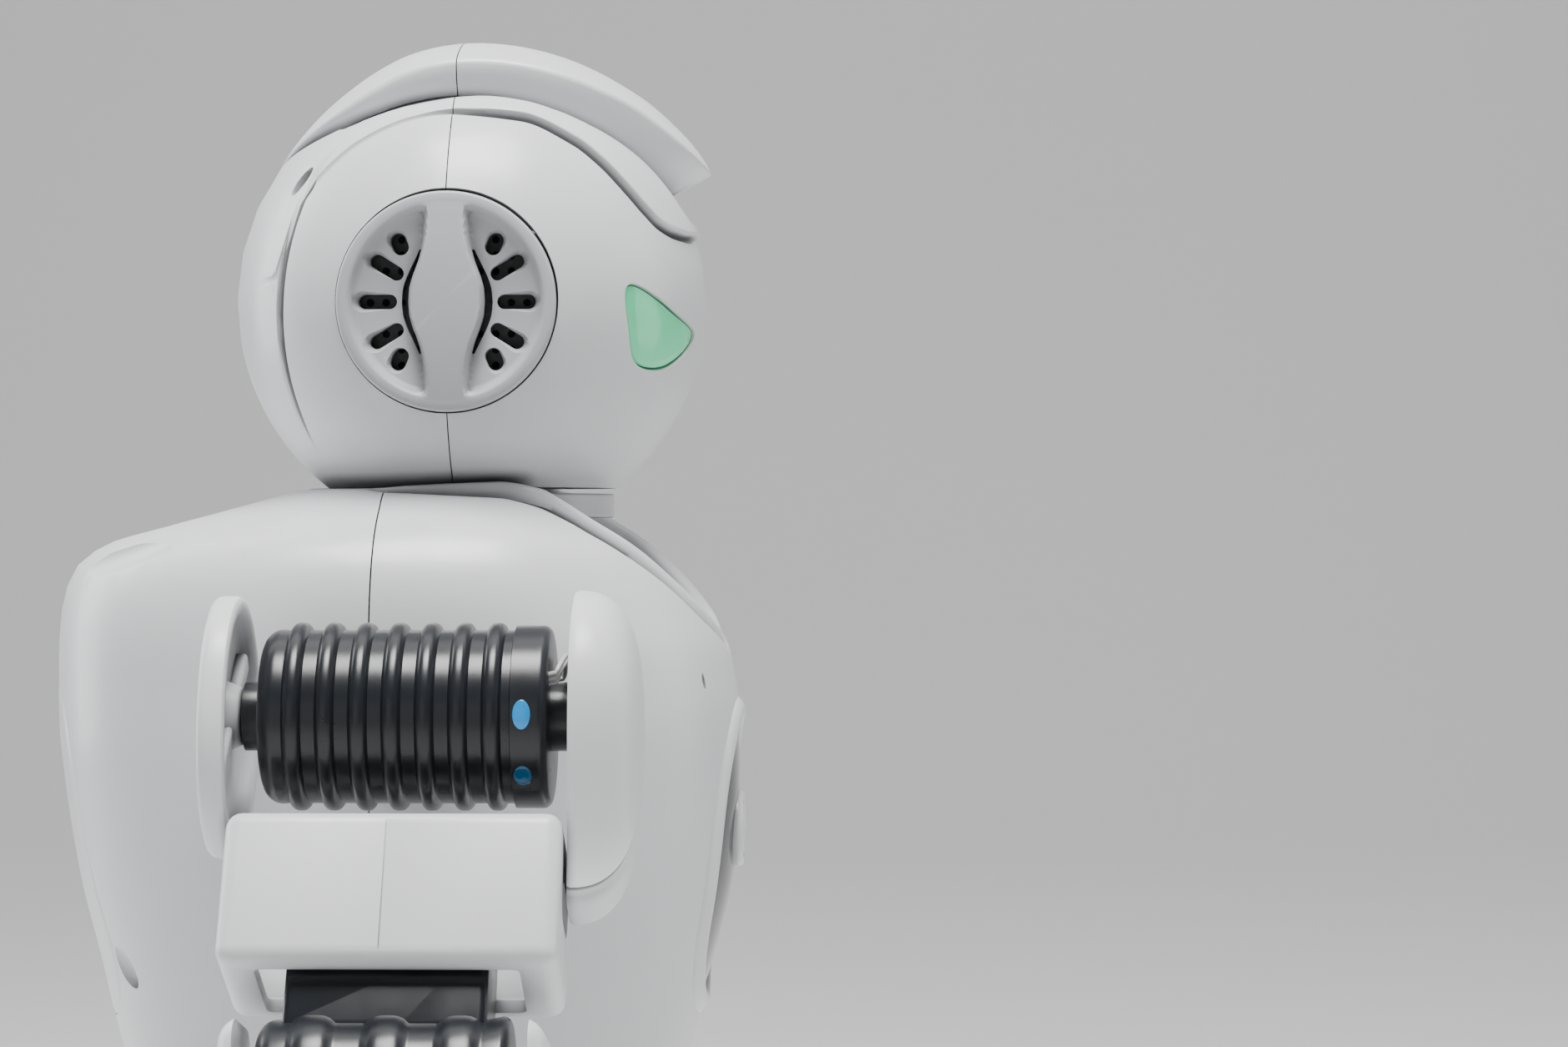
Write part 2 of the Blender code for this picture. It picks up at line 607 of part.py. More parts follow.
def drum(half, r, ribs, hub_r, hub_to, rib_h):
    """Ribbed servo drum about the X axis with a horn stub at each end."""
    prof = [(-hub_to, 0), (-hub_to, hub_r), (-half, hub_r), (-half, r - 3.0), (-half + 1.6, r - 0.8)]
    pitch = (2 * half - 7) / ribs
    for k in range(ribs):
        a = -half + 3.5 + pitch * k
        prof += [(a + 0.20 * pitch, r - rib_h), (a + 0.62 * pitch, r)]
    prof += [(half - 1.6, r - 0.8), (half, r - 3.0), (half, hub_r), (hub_to, hub_r), (hub_to, 0)]
    return prof


def cheek_outline(r, l1, w1, n=12):
    """Egg outline about the drum axis, drawn out along the limb to l1 at half width w1."""
    pts = []
    for k in range(n + 1):
        a = pi + pi * k / n
        pts.append((r * cos(a), r * sin(a)))
    # from the widest place down to the foot and back, as smooth curves
    for k in range(1, 5):
        t = k / 5
        pts.append((r + (w1 - r) * (3 * t**2 - 2 * t**3), l1 * t))
    for k in range(0, 3):
        a = pi / 2 * k / 2
        pts.append((w1 - 3 + 3 * cos(a), l1 - 3 + 3 * sin(a)))
    for k in range(0, 3):
        a = pi / 2 + pi / 2 * k / 2
        pts.append((-w1 + 3 + 3 * cos(a), l1 - 3 + 3 * sin(a)))
    for k in range(4, 0, -1):
        t = k / 5
        pts.append((-(r + (w1 - r) * (3 * t**2 - 2 * t**3)), l1 * t))
    return pts


for side, s in SIDES:
    piv = (SH_X, s * SH_Y, SH_Z)
    m = arm_frame(s, ARM_OUT, piv)
    # ribbed drum, carried by the pitch servo's horn
    ob = from_bm("shoulder_drum_" + side,
                 turned(B(), [(a, r) for a, r in drum(DRUM_L, DRUM_R, 7, 6.0, 28.9, 1.3)], "X", piv, 14),
                 "black_servo", piv)
    boolean(ob, turned(B(), [(s * 50.6, 0), (s * 50.6, 7.5), (s * 66.0, 7.5), (s * 66.0, 0)], "Y",
                       (SH_X, 0, SH_Z), 14), "UNION")
    # lead looped at the drum's front end
    cu = bpy.data.curves.new("servo_lead_" + side, "CURVE")
    cu.dimensions = "3D"
    cu.bevel_depth = 0.8 * U
    cu.bevel_resolution = 1
    cu.use_fill_caps = True
    sp = cu.splines.new("POLY")
    pts = []
    for k in range(10):
        a = pi * k / 9
        pts.append((piv[0] + DRUM_L + 1.3 + 1.2 * sin(a), piv[1] - s * 8.6 * cos(a), piv[2] + 8.5 + 4.6 * sin(a) * 0.6))
    sp.points.add(len(pts) - 1)
    for q, p in zip(sp.points, pts):
        q.co = (p[0] * U, p[1] * U, p[2] * U, 1)
    lead = bpy.data.objects.new("servo_lead_" + side, cu)
    cu.materials.append(material("lead", *LOOK["lead"]))
    bpy.context.scene.collection.objects.link(lead)
    # upper arm housing: open box whose mouth faces the drum
    ob = from_bm("upper_arm_housing_" + side,
                 place(block(B(), (-28.6, -13, 24.0), (28.6, 13, 52.0), 2.6, 2), m), "white_shell", piv)
    boolean(ob, place(block(B(), (-25.6, -10.4, 18.0), (25.6, 10.4, 49.4), 1.0, 1), m))
    boolean(ob, place(block(B(), (-22.0, -8.8, 44.0), (22.0, 8.8, 56.0), 1.0, 1), m))
    # rear cheek: dished plate with a rim round a recess
    out = [(21.0 * cos(pi * k / 18), (25.5 if k < 18 else 21.0) * sin(pi * k / 18)) for k in range(36)]
    ob = from_bm("arm_cheek_rear_" + side,
                 place(ring_loft(B(), [[(-34.0, a * 0.97, b * 0.98) for a, b in out],
                                       [(-33.0, a, b) for a, b in out],
                                       [(-29.2, a, b) for a, b in out]]), m), "white_shell", piv)
    boolean(ob, place(turned(B(), [(-31.2, 0), (-31.2, 13.0), (-30.6, 16.5), (-27.0, 17.4), (-27.0, 0)],
                             "X", (0, 0, 0), 24), m))
    # front cheek: leaf shaped cover, domed forward
    out = cheek_outline(22.0, 38.0, 6.0)
    rings = [[(29.2, a, b) for a, b in out]]
    for x, f in ((32.5, 1.0), (35.8, 0.93), (38.2, 0.80), (40.0, 0.60), (41.0, 0.34)):
        rings.append([(x, a * f, (b - 8) * f + 8) for a, b in out])
    ob = from_bm("arm_cheek_front_" + side, place(ring_loft(B(), rings), m), "white_shell", piv)
    # elbow drum, fixed under the housing
    eb = m @ Vector((0, 0, ELBOW_L))
    ob = from_bm("elbow_servo_" + side,
                 place(turned(B(), drum(ELB_L, ELB_R, 3, 5.0, 24.0, 1.1), "X", (0, 0, ELBOW_L), 12), m),
                 "black_servo", eb)
    boolean(ob, place(block(B(), (-17, -8, 44.0), (17, 8, 62.0), 0.8, 1), m), "UNION")
    # forearm: yoke, sleeve and palm in one moulding
    f = arm_frame(s, FORE_OUT, eb)
    ob = from_bm("forearm_shell_" + side,
                 place(block(B(), (-27.2, -11, -11.5), (27.2, 11, 33.0), 4.0, 2), f), "white_shell", eb)
    boolean(ob, place(block(B(), (-24.4, -30, -30), (24.4, 30, 14.6), 0.8, 1), f))
    rings = []
    for l, hx_, ht in ((28.0, 22.0, 9.6), (36.0, 20.0, 10.4), (46.0, 17.5, 10.0), (52.0, 16.5, 9.0)):
        rings.append([(hx_ * abs(cos(a)) ** 0.7 * (1 if cos(a) >= 0 else -1),
                       ht * abs(sin(a)) ** 0.7 * (1 if sin(a) >= 0 else -1), l)
                      for a in [2 * pi * k / 16 for k in range(16)]])
    boolean(ob, place(ring_loft(B(), rings), f), "UNION")
    boolean(ob, place(block(B(), (-13.6, -5.2, 44.0), (13.6, 5.2, 60.0), 0.5, 1), f))
    # two fingers, each hinged between the palm's walls
    for fn, q in (("a", -1.0), ("b", 1.0)):
        px, pl = q * 8.6, 49.0
        prof = [(-3.2, -3.2), (-3.4, 2.0), (-2.6, 9.0), (-0.6, 20.0), (0.8, 27.0), (2.6, 28.6),
                (4.4, 27.6), (4.4, 24.0), (4.2, 12.0), (4.0, 2.0), (3.2, -3.2)]
        pts = [(px + (a if q < 0 else -a), pl + b) for a, b in prof]
        bm = B()
        ring_loft(bm, [[(a, -4.8, b) for a, b in pts], [(a, 4.8, b) for a, b in pts]])
        pv = f @ Vector((px, 0, pl))
        from_bm("finger_" + fn + "_" + side, place(bm, f), "black_servo", pv)

# ---------------------------------------------------------------- base
BASE = [(24.0, 50.0, 48.0, 3.2), (32.0, 54.8, 52.0, 3.2), (54.0, 56.0, 53.5, 3.2),
        (70.0, 52.5, 50.0, 2.8), (81.0, 45.5, 43.5, 2.6), (88.0, 34.0, 34.5, 2.2),
        (BASE_TOP, 22.0, 24.0, 2.0)]


def base_ring(z, hx_, hy_, n, cut=0.0, seg=24):
    e = 2 / n
    out = []
    for k in range(seg):
        c, q = cos(2 * pi * k / seg), sin(2 * pi * k / seg)
        out.append(Vector(((hx_ - cut) * abs(c) ** e * (1 if c >= 0 else -1),
                           (hy_ - cut) * abs(q) ** e * (1 if q >= 0 else -1), z)))
    return out


outer = [base_ring(*r) for r in BASE]
inner = [base_ring(*r, 2.4) for r in BASE[:-3]]
inner += [base_ring(79.6, 45.5, 43.5, 2.6, 2.4), base_ring(85.8, 34.0, 34.5, 2.2, 2.4),
          base_ring(BASE_TOP - 2.4, 22.0, 24.0, 2.0, 1.0)]
bs = from_bm("base_shell", grid_solid(B(), outer, inner, closed_u=True), "white_shell", (0, 0, 50))
pl = from_bm("base_plate", ring_loft(B(), [base_ring(PLATE_Z0, 49.0, 47.0, 3.2), base_ring(PLATE_Z0 + 1.2, 50.0, 48.0, 3.2),
                                           base_ring(PLATE_Z1, 50.0, 48.0, 3.2)]), "gloss_black", (0, 0, PLATE_Z0))
# round dock pad under the plate, with the plate's lowest flat face
boolean(pl, turned(B(), [(14.0, 0), (14.0, 16.0), (15.0, 17.0), (PLATE_Z0 + 1.0, 17.0), (PLATE_Z0 + 1.0, 0)],
                   "Z", (0, 0, 0), 24), "UNION")
for side, s in SIDES:
    boolean(bs, turned(B(), [(s * 44, 0), (s * 44, 6.0), (s * 60, 6.0), (s * 60, 0)], "Y", (0, 0, WHEEL_Z), 20))
    ym = lambda d: s * d
    prof = [(ym(17), 0), (ym(17), 11.5), (ym(45.0), 11.5), (ym(45.0), 4.0), (ym(48.0), 4.0),
            (ym(48.0), 2.5), (ym(63.4), 2.5), (ym(63.4), 0)]
    from_bm("drive_motor_" + side, turned(B(), prof, "Y", (0, 0, WHEEL_Z), 14), "black_servo", (0, s * 30, WHEEL_Z))
    # hub: dished disc with a blind hole for the shaft
    ym = lambda d: s * (d - 2.5)
    prof = [(ym(66.6), 0), (ym(66.6), 2.8), (ym(58.6), 2.8), (ym(58.6), 7.5), (ym(66.0), 11.0),
            (ym(66.0), 24.0), (ym(60.6), 29.2), (ym(77.4), 29.2), (ym(77.0), 26.4),
            (ym(71.0), 23.6), (ym(70.0), 12.0), (ym(73.5), 8.5), (ym(74.8), 0)]
    hub = from_bm("wheel_hub_" + side, turned(B(), prof, "Y", (0, 0, WHEEL_Z), 20), "white_shell", (0, s * 69, WHEEL_Z))
    for k in range(5):
        a = 2 * pi * k / 5 + pi / 2
        cx, cz = 17.4 * cos(a), 17.4 * sin(a)
        out = [(cx + 3.9 * cos(t) * cos(a) - 5.2 * sin(t) * sin(a),
                WHEEL_Z + cz + 3.9 * cos(t) * sin(a) + 5.2 * sin(t) * cos(a))
               for t in [2 * pi * i / 6 for i in range(6)]]
        lo, hi = sorted((ym(60), ym(80)))
        boolean(hub, prism(B(), out, lo, hi, "Y"))
    w = (WHEEL_OUT - WHEEL_IN) / 2
    mid = (WHEEL_OUT + WHEEL_IN) / 2
    prof = [(-w, 29.6), (-w, 35.4), (-w + 3.0, WHEEL_R),
            (-1.8, WHEEL_R), (0, 36.9), (1.8, WHEEL_R), (w - 3.0, WHEEL_R),
            (w, 35.4), (w, 29.6)]
    from_bm("tyre_" + side, turned(B(), [(s * mid + a, r) for a, r in prof], "Y", (0, 0, WHEEL_Z), 28),
            "tyre_rubber", (0, s * mid, WHEEL_Z))

for side, q in (("front", 1.0), ("rear", -1.0)):
    c = (q * CASTER_X, 0, 0)
    cav = BALL_R + 0.5
    prof = [(20.0, 0), (20.0, 12.6), (10.0, 12.6), (4.6, 10.6), (4.2, sqrt(cav**2 - (BALL_R - 4.2)**2) + 0.2)]
    for a in (-25, 0, 25, 50, 72):
        prof.append((BALL_R + cav * sin(radians(a)), cav * cos(radians(a))))
    prof.append((BALL_R + cav, 0))
    from_bm("caster_housing_" + side, turned(B(), prof, "Z", c, 14), "gloss_black", (q * CASTER_X, 0, 12))
    prof = [(0.0, 0)] + [(BALL_R - BALL_R * cos(pi * k / 8), BALL_R * sin(pi * k / 8)) for k in range(1, 8)] + [(2 * BALL_R, 0)]
    from_bm("caster_ball_" + side, turned(B(), prof, "Z", c, 14), "steel", (q * CASTER_X, 0, BALL_R))

boolean(bs, turned(B(), [(-70, 0), (-70, 5.4), (-48, 5.4), (-48, 0)], "X", (0, 0, 56), 14))
from_bm("power_button", turned(B(), [(-49.0, 0), (-49.0, 6.8), (-50.4, 6.8), (-50.4, 5.0), (-57.0, 5.0),
                                     (-57.6, 4.3), (-57.8, 0)], "X", (0, 0, 56), 14),
        "gloss_black", (-55, 0, 56))
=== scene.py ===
"""Looks of the two wheel companion robot: fine meshes and materials around the CAD frame.
Works in millimetres inside, in the CAD's own frame, and writes metres."""
import bpy
import bmesh
import numpy as np
from math import sin, cos, pi, sqrt, radians, degrees, atan2, asin, acos
from mathutils import Matrix, Vector

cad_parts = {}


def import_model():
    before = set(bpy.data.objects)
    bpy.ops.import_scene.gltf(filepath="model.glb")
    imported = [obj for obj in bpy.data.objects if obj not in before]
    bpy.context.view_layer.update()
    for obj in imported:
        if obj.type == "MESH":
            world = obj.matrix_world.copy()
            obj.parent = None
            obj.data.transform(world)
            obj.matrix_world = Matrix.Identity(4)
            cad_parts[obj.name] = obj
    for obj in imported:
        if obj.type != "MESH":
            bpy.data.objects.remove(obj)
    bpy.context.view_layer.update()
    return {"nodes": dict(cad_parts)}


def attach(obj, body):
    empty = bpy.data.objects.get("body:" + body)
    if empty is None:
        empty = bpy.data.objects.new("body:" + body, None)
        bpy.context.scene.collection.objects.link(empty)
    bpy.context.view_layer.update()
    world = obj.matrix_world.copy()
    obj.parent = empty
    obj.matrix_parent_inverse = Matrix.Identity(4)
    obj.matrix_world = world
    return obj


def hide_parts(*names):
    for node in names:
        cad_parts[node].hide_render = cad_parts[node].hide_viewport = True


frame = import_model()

U = 0.001
HX, HZ = 12.4, 262.0
HEAD = Vector((HX, 0, HZ))
HEAD_R, HEAD_WALL = 45.0, 2.4
SEAM = HX - 0.8
EAR_R = 20.3
EAR_Z = HZ - 1.5
TORSO_SEAM = -1.0
SH_X, SH_Y, SH_Z = 9.3, 78.0, HZ - 76.0
ARM_OUT, FORE_OUT = radians(30.0), radians(15.0)
ELBOW_L = 70.0
SIDES = (("right", -1.0), ("left", 1.0))

# ---------------------------------------------------------------- camera and studio
PSI = radians(1.5)
VIEW = Vector((-sin(PSI), cos(PSI), 0))
RIGHT = Vector((cos(PSI), sin(PSI), 0))
cam = bpy.data.cameras.new("camera")
cam.sensor_width = 36.0
cam.lens = 36.0 * 4960 / 1880
cam.clip_start, cam.clip_end = 0.01, 30
cam_ob = bpy.data.objects.new("camera", cam)
bpy.context.scene.collection.objects.link(cam_ob)
eye_pos = HEAD * U - VIEW * 0.8 + RIGHT * 0.0602 + Vector((0, 0, -0.0423))
mw = Matrix((RIGHT, Vector((0, 0, 1)), -VIEW)).transposed().to_4x4()
mw.translation = eye_pos
cam_ob.matrix_world = mw
bpy.context.scene.camera = cam_ob


# ---------------------------------------------------------------- materials
def new_mat(name):
    m = bpy.data.materials.new(name)
    m.use_nodes = True
    nt = m.node_tree
    return m, nt, nt.nodes["Principled BSDF"]


def node(nt, kind, **kw):
    n = nt.nodes.new(kind)
    for k, v in kw.items():
        setattr(n, k, v)
    return n


def noise(nt, co, scale, detail=3.0, rough=0.55):
    n = node(nt, "ShaderNodeTexNoise")
    n.inputs["Scale"].default_value = scale
    n.inputs["Detail"].default_value = detail
    n.inputs["Roughness"].default_value = rough
    nt.links.new(co, n.inputs["Vector"])
    return n.outputs["Fac"]


def remap(nt, fac, a, b, lo, hi):
    n = node(nt, "ShaderNodeMapRange")
    n.inputs["From Min"].default_value = a
    n.inputs["From Max"].default_value = b
    n.inputs["To Min"].default_value = lo
    n.inputs["To Max"].default_value = hi
    nt.links.new(fac, n.inputs["Value"])
    return n.outputs["Result"]


def math_n(nt, op, a, b=None):
    n = node(nt, "ShaderNodeMath", operation=op)
    for i, v in enumerate((a, b)):
        if v is None:
            continue
        if isinstance(v, (int, float)):
            n.inputs[i].default_value = v
        else:
            nt.links.new(v, n.inputs[i])
    return n.outputs[0]


def mix_rgb(nt, fac, a, b):
    n = node(nt, "ShaderNodeMix", data_type="RGBA")
    if isinstance(fac, (int, float)):
        n.inputs["Factor"].default_value = fac
    else:
        nt.links.new(fac, n.inputs["Factor"])
    for s, v in (("A", a), ("B", b)):
        sock = [i for i in n.inputs if i.name == s and i.type == "RGBA"][0]
        if isinstance(v, tuple):
            sock.default_value = (*v, 1)
        else:
            nt.links.new(v, sock)
    return [o for o in n.outputs if o.type == "RGBA"][0]


def moulded(name, base, rough, grain=0.012, grain_scale=2600.0, tone=0.04, edge=0.0, metal=0.0,
            coat=0.0, spec=0.5, dust=0.0, rough_var=0.08, painted_crevice_shade=0.0):
    """Injection moulded or cast surface: fine spark texture, faint tone and gloss drift,
    and slightly polished or paler edges; optional painted shade darkens the colour in crevices by ambient occlusion."""
    m, nt, b = new_mat(name)
    co = node(nt, "ShaderNodeTexCoord").outputs["Object"]
    big = noise(nt, co, 28.0, 4.0)
    mid = noise(nt, co, 240.0, 4.0)
    fine = noise(nt, co, grain_scale, 2.0)
    dark = tuple(c * (1 - tone) for c in base)
    lite = tuple(min(1.0, c * (1 + tone)) for c in base)
    col = mix_rgb(nt, remap(nt, big, 0.3, 0.7, 0.0, 1.0), dark, lite)
    if dust > 0:
        col = mix_rgb(nt, remap(nt, mid, 0.52, 0.78, 0.0, dust), col, (0.42, 0.41, 0.39))
    if edge > 0:
        pt = node(nt, "ShaderNodeNewGeometry").outputs["Pointiness"]
        f = remap(nt, pt, 0.52, 0.60, 0.0, edge)
        col = mix_rgb(nt, f, col, tuple(min(1.0, c * 1.25 + 0.05) for c in base))
    # painted shade: crevices and recesses are darkened towards a near-black copy of the base colour, by ambient
    # occlusion
    if painted_crevice_shade > 0:
        ao = node(nt, "ShaderNodeAmbientOcclusion", samples=12)
        ao.inputs["Distance"].default_value = 3.2 * U
        f = remap(nt, ao.outputs["AO"], 0.35, 0.92, painted_crevice_shade, 0.0)
        col = mix_rgb(nt, f, col, tuple(c * 0.12 for c in base))
    nt.links.new(col, b.inputs["Base Color"])
    r = math_n(nt, "ADD", remap(nt, mid, 0.3, 0.7, rough - rough_var / 2, rough + rough_var / 2),
               remap(nt, big, 0.3, 0.7, -rough_var / 3, rough_var / 3))
    nt.links.new(r, b.inputs["Roughness"])
    b.inputs["Metallic"].default_value = metal
    b.inputs["Specular IOR Level"].default_value = spec
    b.inputs["Coat Weight"].default_value = coat
    b.inputs["Coat Roughness"].default_value = 0.12
    bp = node(nt, "ShaderNodeBump")
    bp.inputs["Strength"].default_value = 0.35
    bp.inputs["Distance"].default_value = grain * U
    nt.links.new(fine, bp.inputs["Height"])
    nt.links.new(bp.outputs["Normal"], b.inputs["Normal"])
    return m


# the last argument sets how strongly shade is painted into the crevices of the white and ear plastics
WHITE = moulded("white_plastic", (0.74, 0.75, 0.77), 0.34, grain=0.010, tone=0.02, edge=0.15, coat=0.08, painted_crevice_shade=0.85)
WHITE2 = moulded("white_plastic_arm", (0.76, 0.77, 0.79), 0.38, grain=0.014, tone=0.025, edge=0.15, painted_crevice_shade=0.8)
GREY = moulded("ear_plastic", (0.50, 0.51, 0.535), 0.42, grain=0.020, grain_scale=3200, tone=0.03, edge=0.25, painted_crevice_shade=0.8)
BLACK = moulded("black_polymer", (0.014, 0.016, 0.020), 0.30, grain=0.018, tone=0.10, edge=0.10, spec=0.5, rough_var=0.04)
GLOSS = moulded("gloss_black", (0.006, 0.006, 0.008), 0.07, grain=0.001, tone=0.2, coat=0.5, rough_var=0.05)
RUBBER = moulded("tyre_rubber", (0.020, 0.020, 0.021), 0.78, grain=0.05, grain_scale=1500, tone=0.3, dust=0.35)
METAL = moulded("frame_metal", (0.52, 0.53, 0.55), 0.36, grain=0.012, tone=0.06, metal=0.95, rough_var=0.12)
STEEL = moulded("steel", (0.60, 0.60, 0.62), 0.16, grain=0.004, tone=0.05, metal=1.0, rough_var=0.10)
LEAD = moulded("lead_sleeve", (0.66, 0.66, 0.65), 0.45, grain=0.02, tone=0.06)
BATT = moulded("battery_wrap", (0.05, 0.09, 0.26), 0.32, grain=0.03, tone=0.12, rough_var=0.15)


def dots_mat():
    """Second layer behind the ear slots: dark plate with rows of small round holes, each hole painted near-black as
    painted shade for the hollow behind it.
    """
    m, nt, b = new_mat("perforated_plate")
    co = node(nt, "ShaderNodeTexCoord").outputs["Object"]
    sep = node(nt, "ShaderNodeSeparateXYZ")
    nt.links.new(co, sep.inputs[0])
    x = math_n(nt, "ADD", sep.outputs["X"], -SEAM * U)
    z = math_n(nt, "ADD", sep.outputs["Z"], -EAR_Z * U)
    p = 2.9 * U
    fx = math_n(nt, "PINGPONG", x, p / 2)
    fz = math_n(nt, "PINGPONG", z, p / 2)
    d = math_n(nt, "SQRT", math_n(nt, "ADD", math_n(nt, "POWER", fx, 2.0), math_n(nt, "POWER", fz, 2.0)))
    hole = remap(nt, d, 0.62 * U, 0.74 * U, 1.0, 0.0)
    tone = noise(nt, co, 900.0)
    plate = mix_rgb(nt, remap(nt, tone, 0.3, 0.7, 0, 1), (0.030, 0.032, 0.034), (0.055, 0.057, 0.060))
    # painted shade: the holes are coloured near-black for the dark hollow behind them
    nt.links.new(mix_rgb(nt, hole, plate, (0.001, 0.001, 0.001)), b.inputs["Base Color"])
    nt.links.new(remap(nt, hole, 0, 1, 0.5, 0.95), b.inputs["Roughness"])
    bp = node(nt, "ShaderNodeBump")
    bp.inputs["Strength"].default_value = 0.8
    bp.inputs["Distance"].default_value = 0.4 * U
    nt.links.new(remap(nt, hole, 0, 1, 1, 0), bp.inputs["Height"])
    nt.links.new(bp.outputs["Normal"], b.inputs["Normal"])
    return m


def board_mat():
    """Circuit board: solder mask with tracks and small pads."""
    m, nt, b = new_mat("circuit_board")
    co = node(nt, "ShaderNodeTexCoord").outputs["Object"]
    v = node(nt, "ShaderNodeTexVoronoi", feature="DISTANCE_TO_EDGE", distance="MANHATTAN")
    v.inputs["Scale"].default_value = 320
    nt.links.new(co, v.inputs["Vector"])
    v2 = node(nt, "ShaderNodeTexVoronoi", feature="F1", distance="CHEBYCHEV")
    v2.inputs["Scale"].default_value = 260
    nt.links.new(co, v2.inputs["Vector"])
    track = remap(nt, v.outputs["Distance"], 0.02, 0.06, 1, 0)
    pad = remap(nt, v2.outputs["Distance"], 0.12, 0.16, 1, 0)
    c = mix_rgb(nt, track, (0.01, 0.09, 0.05), (0.02, 0.16, 0.09))
    c = mix_rgb(nt, pad, c, (0.55, 0.50, 0.38))
    nt.links.new(c, b.inputs["Base Color"])
    nt.links.new(remap(nt, pad, 0, 1, 0.42, 0.25), b.inputs["Roughness"])
    nt.links.new(pad, b.inputs["Metallic"])
    return m


def lit_mat(name, base, glow, strength, soft):
    """Lit translucent lens: the glow drifts a little over the diffuser behind it."""
    m, nt, b = new_mat(name)
    co = node(nt, "ShaderNodeTexCoord").outputs["Object"]
    big = noise(nt, co, 90.0, 2.0)
    fine = noise(nt, co, 1800.0, 2.0)
    f = remap(nt, big, 0.3, 0.7, 0, 1)
    nt.links.new(mix_rgb(nt, f, tuple(c * 0.90 for c in base), base), b.inputs["Base Color"])
    nt.links.new(mix_rgb(nt, f, tuple(c * soft for c in glow), glow), b.inputs["Emission Color"])
    b.inputs["Emission Strength"].default_value = strength
    nt.links.new(remap(nt, fine, 0.3, 0.7, 0.16, 0.26), b.inputs["Roughness"])
    b.inputs["Coat Weight"].default_value = 0.3
    b.inputs["Coat Roughness"].default_value = 0.08
    return m


PERF = dots_mat()
BOARD = board_mat()
EYE_M = lit_mat("eye_glow", (0.06, 0.36, 0.20), (0.10, 0.66, 0.31), 0.74, 0.92)
LED_M = lit_mat("arm_led", (0.0, 0.10, 0.20), (0.0, 0.30, 0.80), 0.85, 0.6)
LED_D = lit_mat("arm_led_dim", (0.0, 0.04, 0.08), (0.0, 0.08, 0.20), 0.5, 0.6)

# ---------------------------------------------------------------- mesh helpers


def B():
    return bmesh.new()


def obj(name, bm, mat=None, sharp=32.0, fix=True):
    if fix:
        bmesh.ops.recalc_face_normals(bm, faces=bm.faces[:])
    for v in bm.verts:
        v.co *= U
    me = bpy.data.meshes.new(name)
    bm.to_mesh(me)
    bm.free()
    ob = bpy.data.objects.new(name, me)
    bpy.context.scene.collection.objects.link(ob)
    if mat:
        me.materials.append(mat)
    me.shade_smooth()
    me.set_sharp_from_angle(angle=radians(sharp))
    return ob


def settle(ob, sharp=32.0):
    """Keeps what the modifiers make as the mesh itself."""
    bpy.context.view_layer.update()
    dg = bpy.context.evaluated_depsgraph_get()
    me = bpy.data.meshes.new_from_object(ob.evaluated_get(dg))
    ob.modifiers.clear()
    old = ob.data
    ob.data = me
    bpy.data.meshes.remove(old)
    me.shade_smooth()
    me.set_sharp_from_angle(angle=radians(sharp))
    return ob


def cut(ob, bm, op="DIFFERENCE", sharp=32.0):
    tool = obj("tool", bm, None)
    md = ob.modifiers.new("cut", "BOOLEAN")
    md.operation = op
    md.solver = "EXACT"
    md.object = tool
    settle(ob, sharp)
    bpy.data.objects.remove(tool, do_unlink=True)
    return ob


def soften(ob, width, segs=3, angle=30.0, sharp=32.0):
    """Rounds the sharp edges."""
    md = ob.modifiers.new("edge", "BEVEL")
    md.width = width * U
    md.segments = segs
    md.limit_method = "ANGLE"
    md.angle_limit = radians(angle)
    md.harden_normals = False
    md.use_clamp_overlap = True
    return settle(ob, sharp)


def put(ob, body, nodes=()):
    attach(ob, body)
    if nodes:
        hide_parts(*nodes)
    return ob


def grid_solid(bm, outer, inner, closed_u=False):
    def add(g):
        return [[bm.verts.new(p) for p in row] for row in g]
    a, b = add(outer), add(inner)
    n, m = len(a), len(a[0])
    cols = m if closed_u else m - 1
    for i in range(n - 1):
        for j in range(cols):
            k = (j + 1) % m
            bm.faces.new((a[i][j], a[i][k], a[i + 1][k], a[i + 1][j]))
            bm.faces.new((b[i][j], b[i + 1][j], b[i + 1][k], b[i][k]))
    for j in range(cols):
        k = (j + 1) % m
        bm.faces.new((a[0][j], b[0][j], b[0][k], a[0][k]))
        bm.faces.new((a[-1][j], a[-1][k], b[-1][k], b[-1][j]))
    if not closed_u:
        for i in range(n - 1):
            bm.faces.new((a[i][0], a[i + 1][0], b[i + 1][0], b[i][0]))
            bm.faces.new((a[i][-1], b[i][-1], b[i + 1][-1], a[i + 1][-1]))
    return bm


def ring_loft(bm, rings, caps=True):
    vs = [[bm.verts.new(p) for p in r] for r in rings]
    m = len(vs[0])
    for i in range(len(vs) - 1):
        for j in range(m):
            k = (j + 1) % m
            bm.faces.new((vs[i][j], vs[i][k], vs[i + 1][k], vs[i + 1][j]))
    if caps:
        bm.faces.new(list(reversed(vs[0])))
        bm.faces.new(vs[-1])
    return bm


def loop_loft(bm, rings):
    """Closed band: rings joined round, each ring a closed section."""
    vs = [[bm.verts.new(p) for p in r] for r in rings]
    n, m = len(vs), len(vs[0])
    for i in range(n):
        a, b = vs[i], vs[(i + 1) % n]
        for j in range(m):
            k = (j + 1) % m
            bm.faces.new((a[j], a[k], b[k], b[j]))
    return bm


AX = {"X": lambda a, r, t: (a, r * cos(t), r * sin(t)),
      "Y": lambda a, r, t: (r * sin(t), a, r * cos(t)),
      "Z": lambda a, r, t: (r * cos(t), r * sin(t), a)}


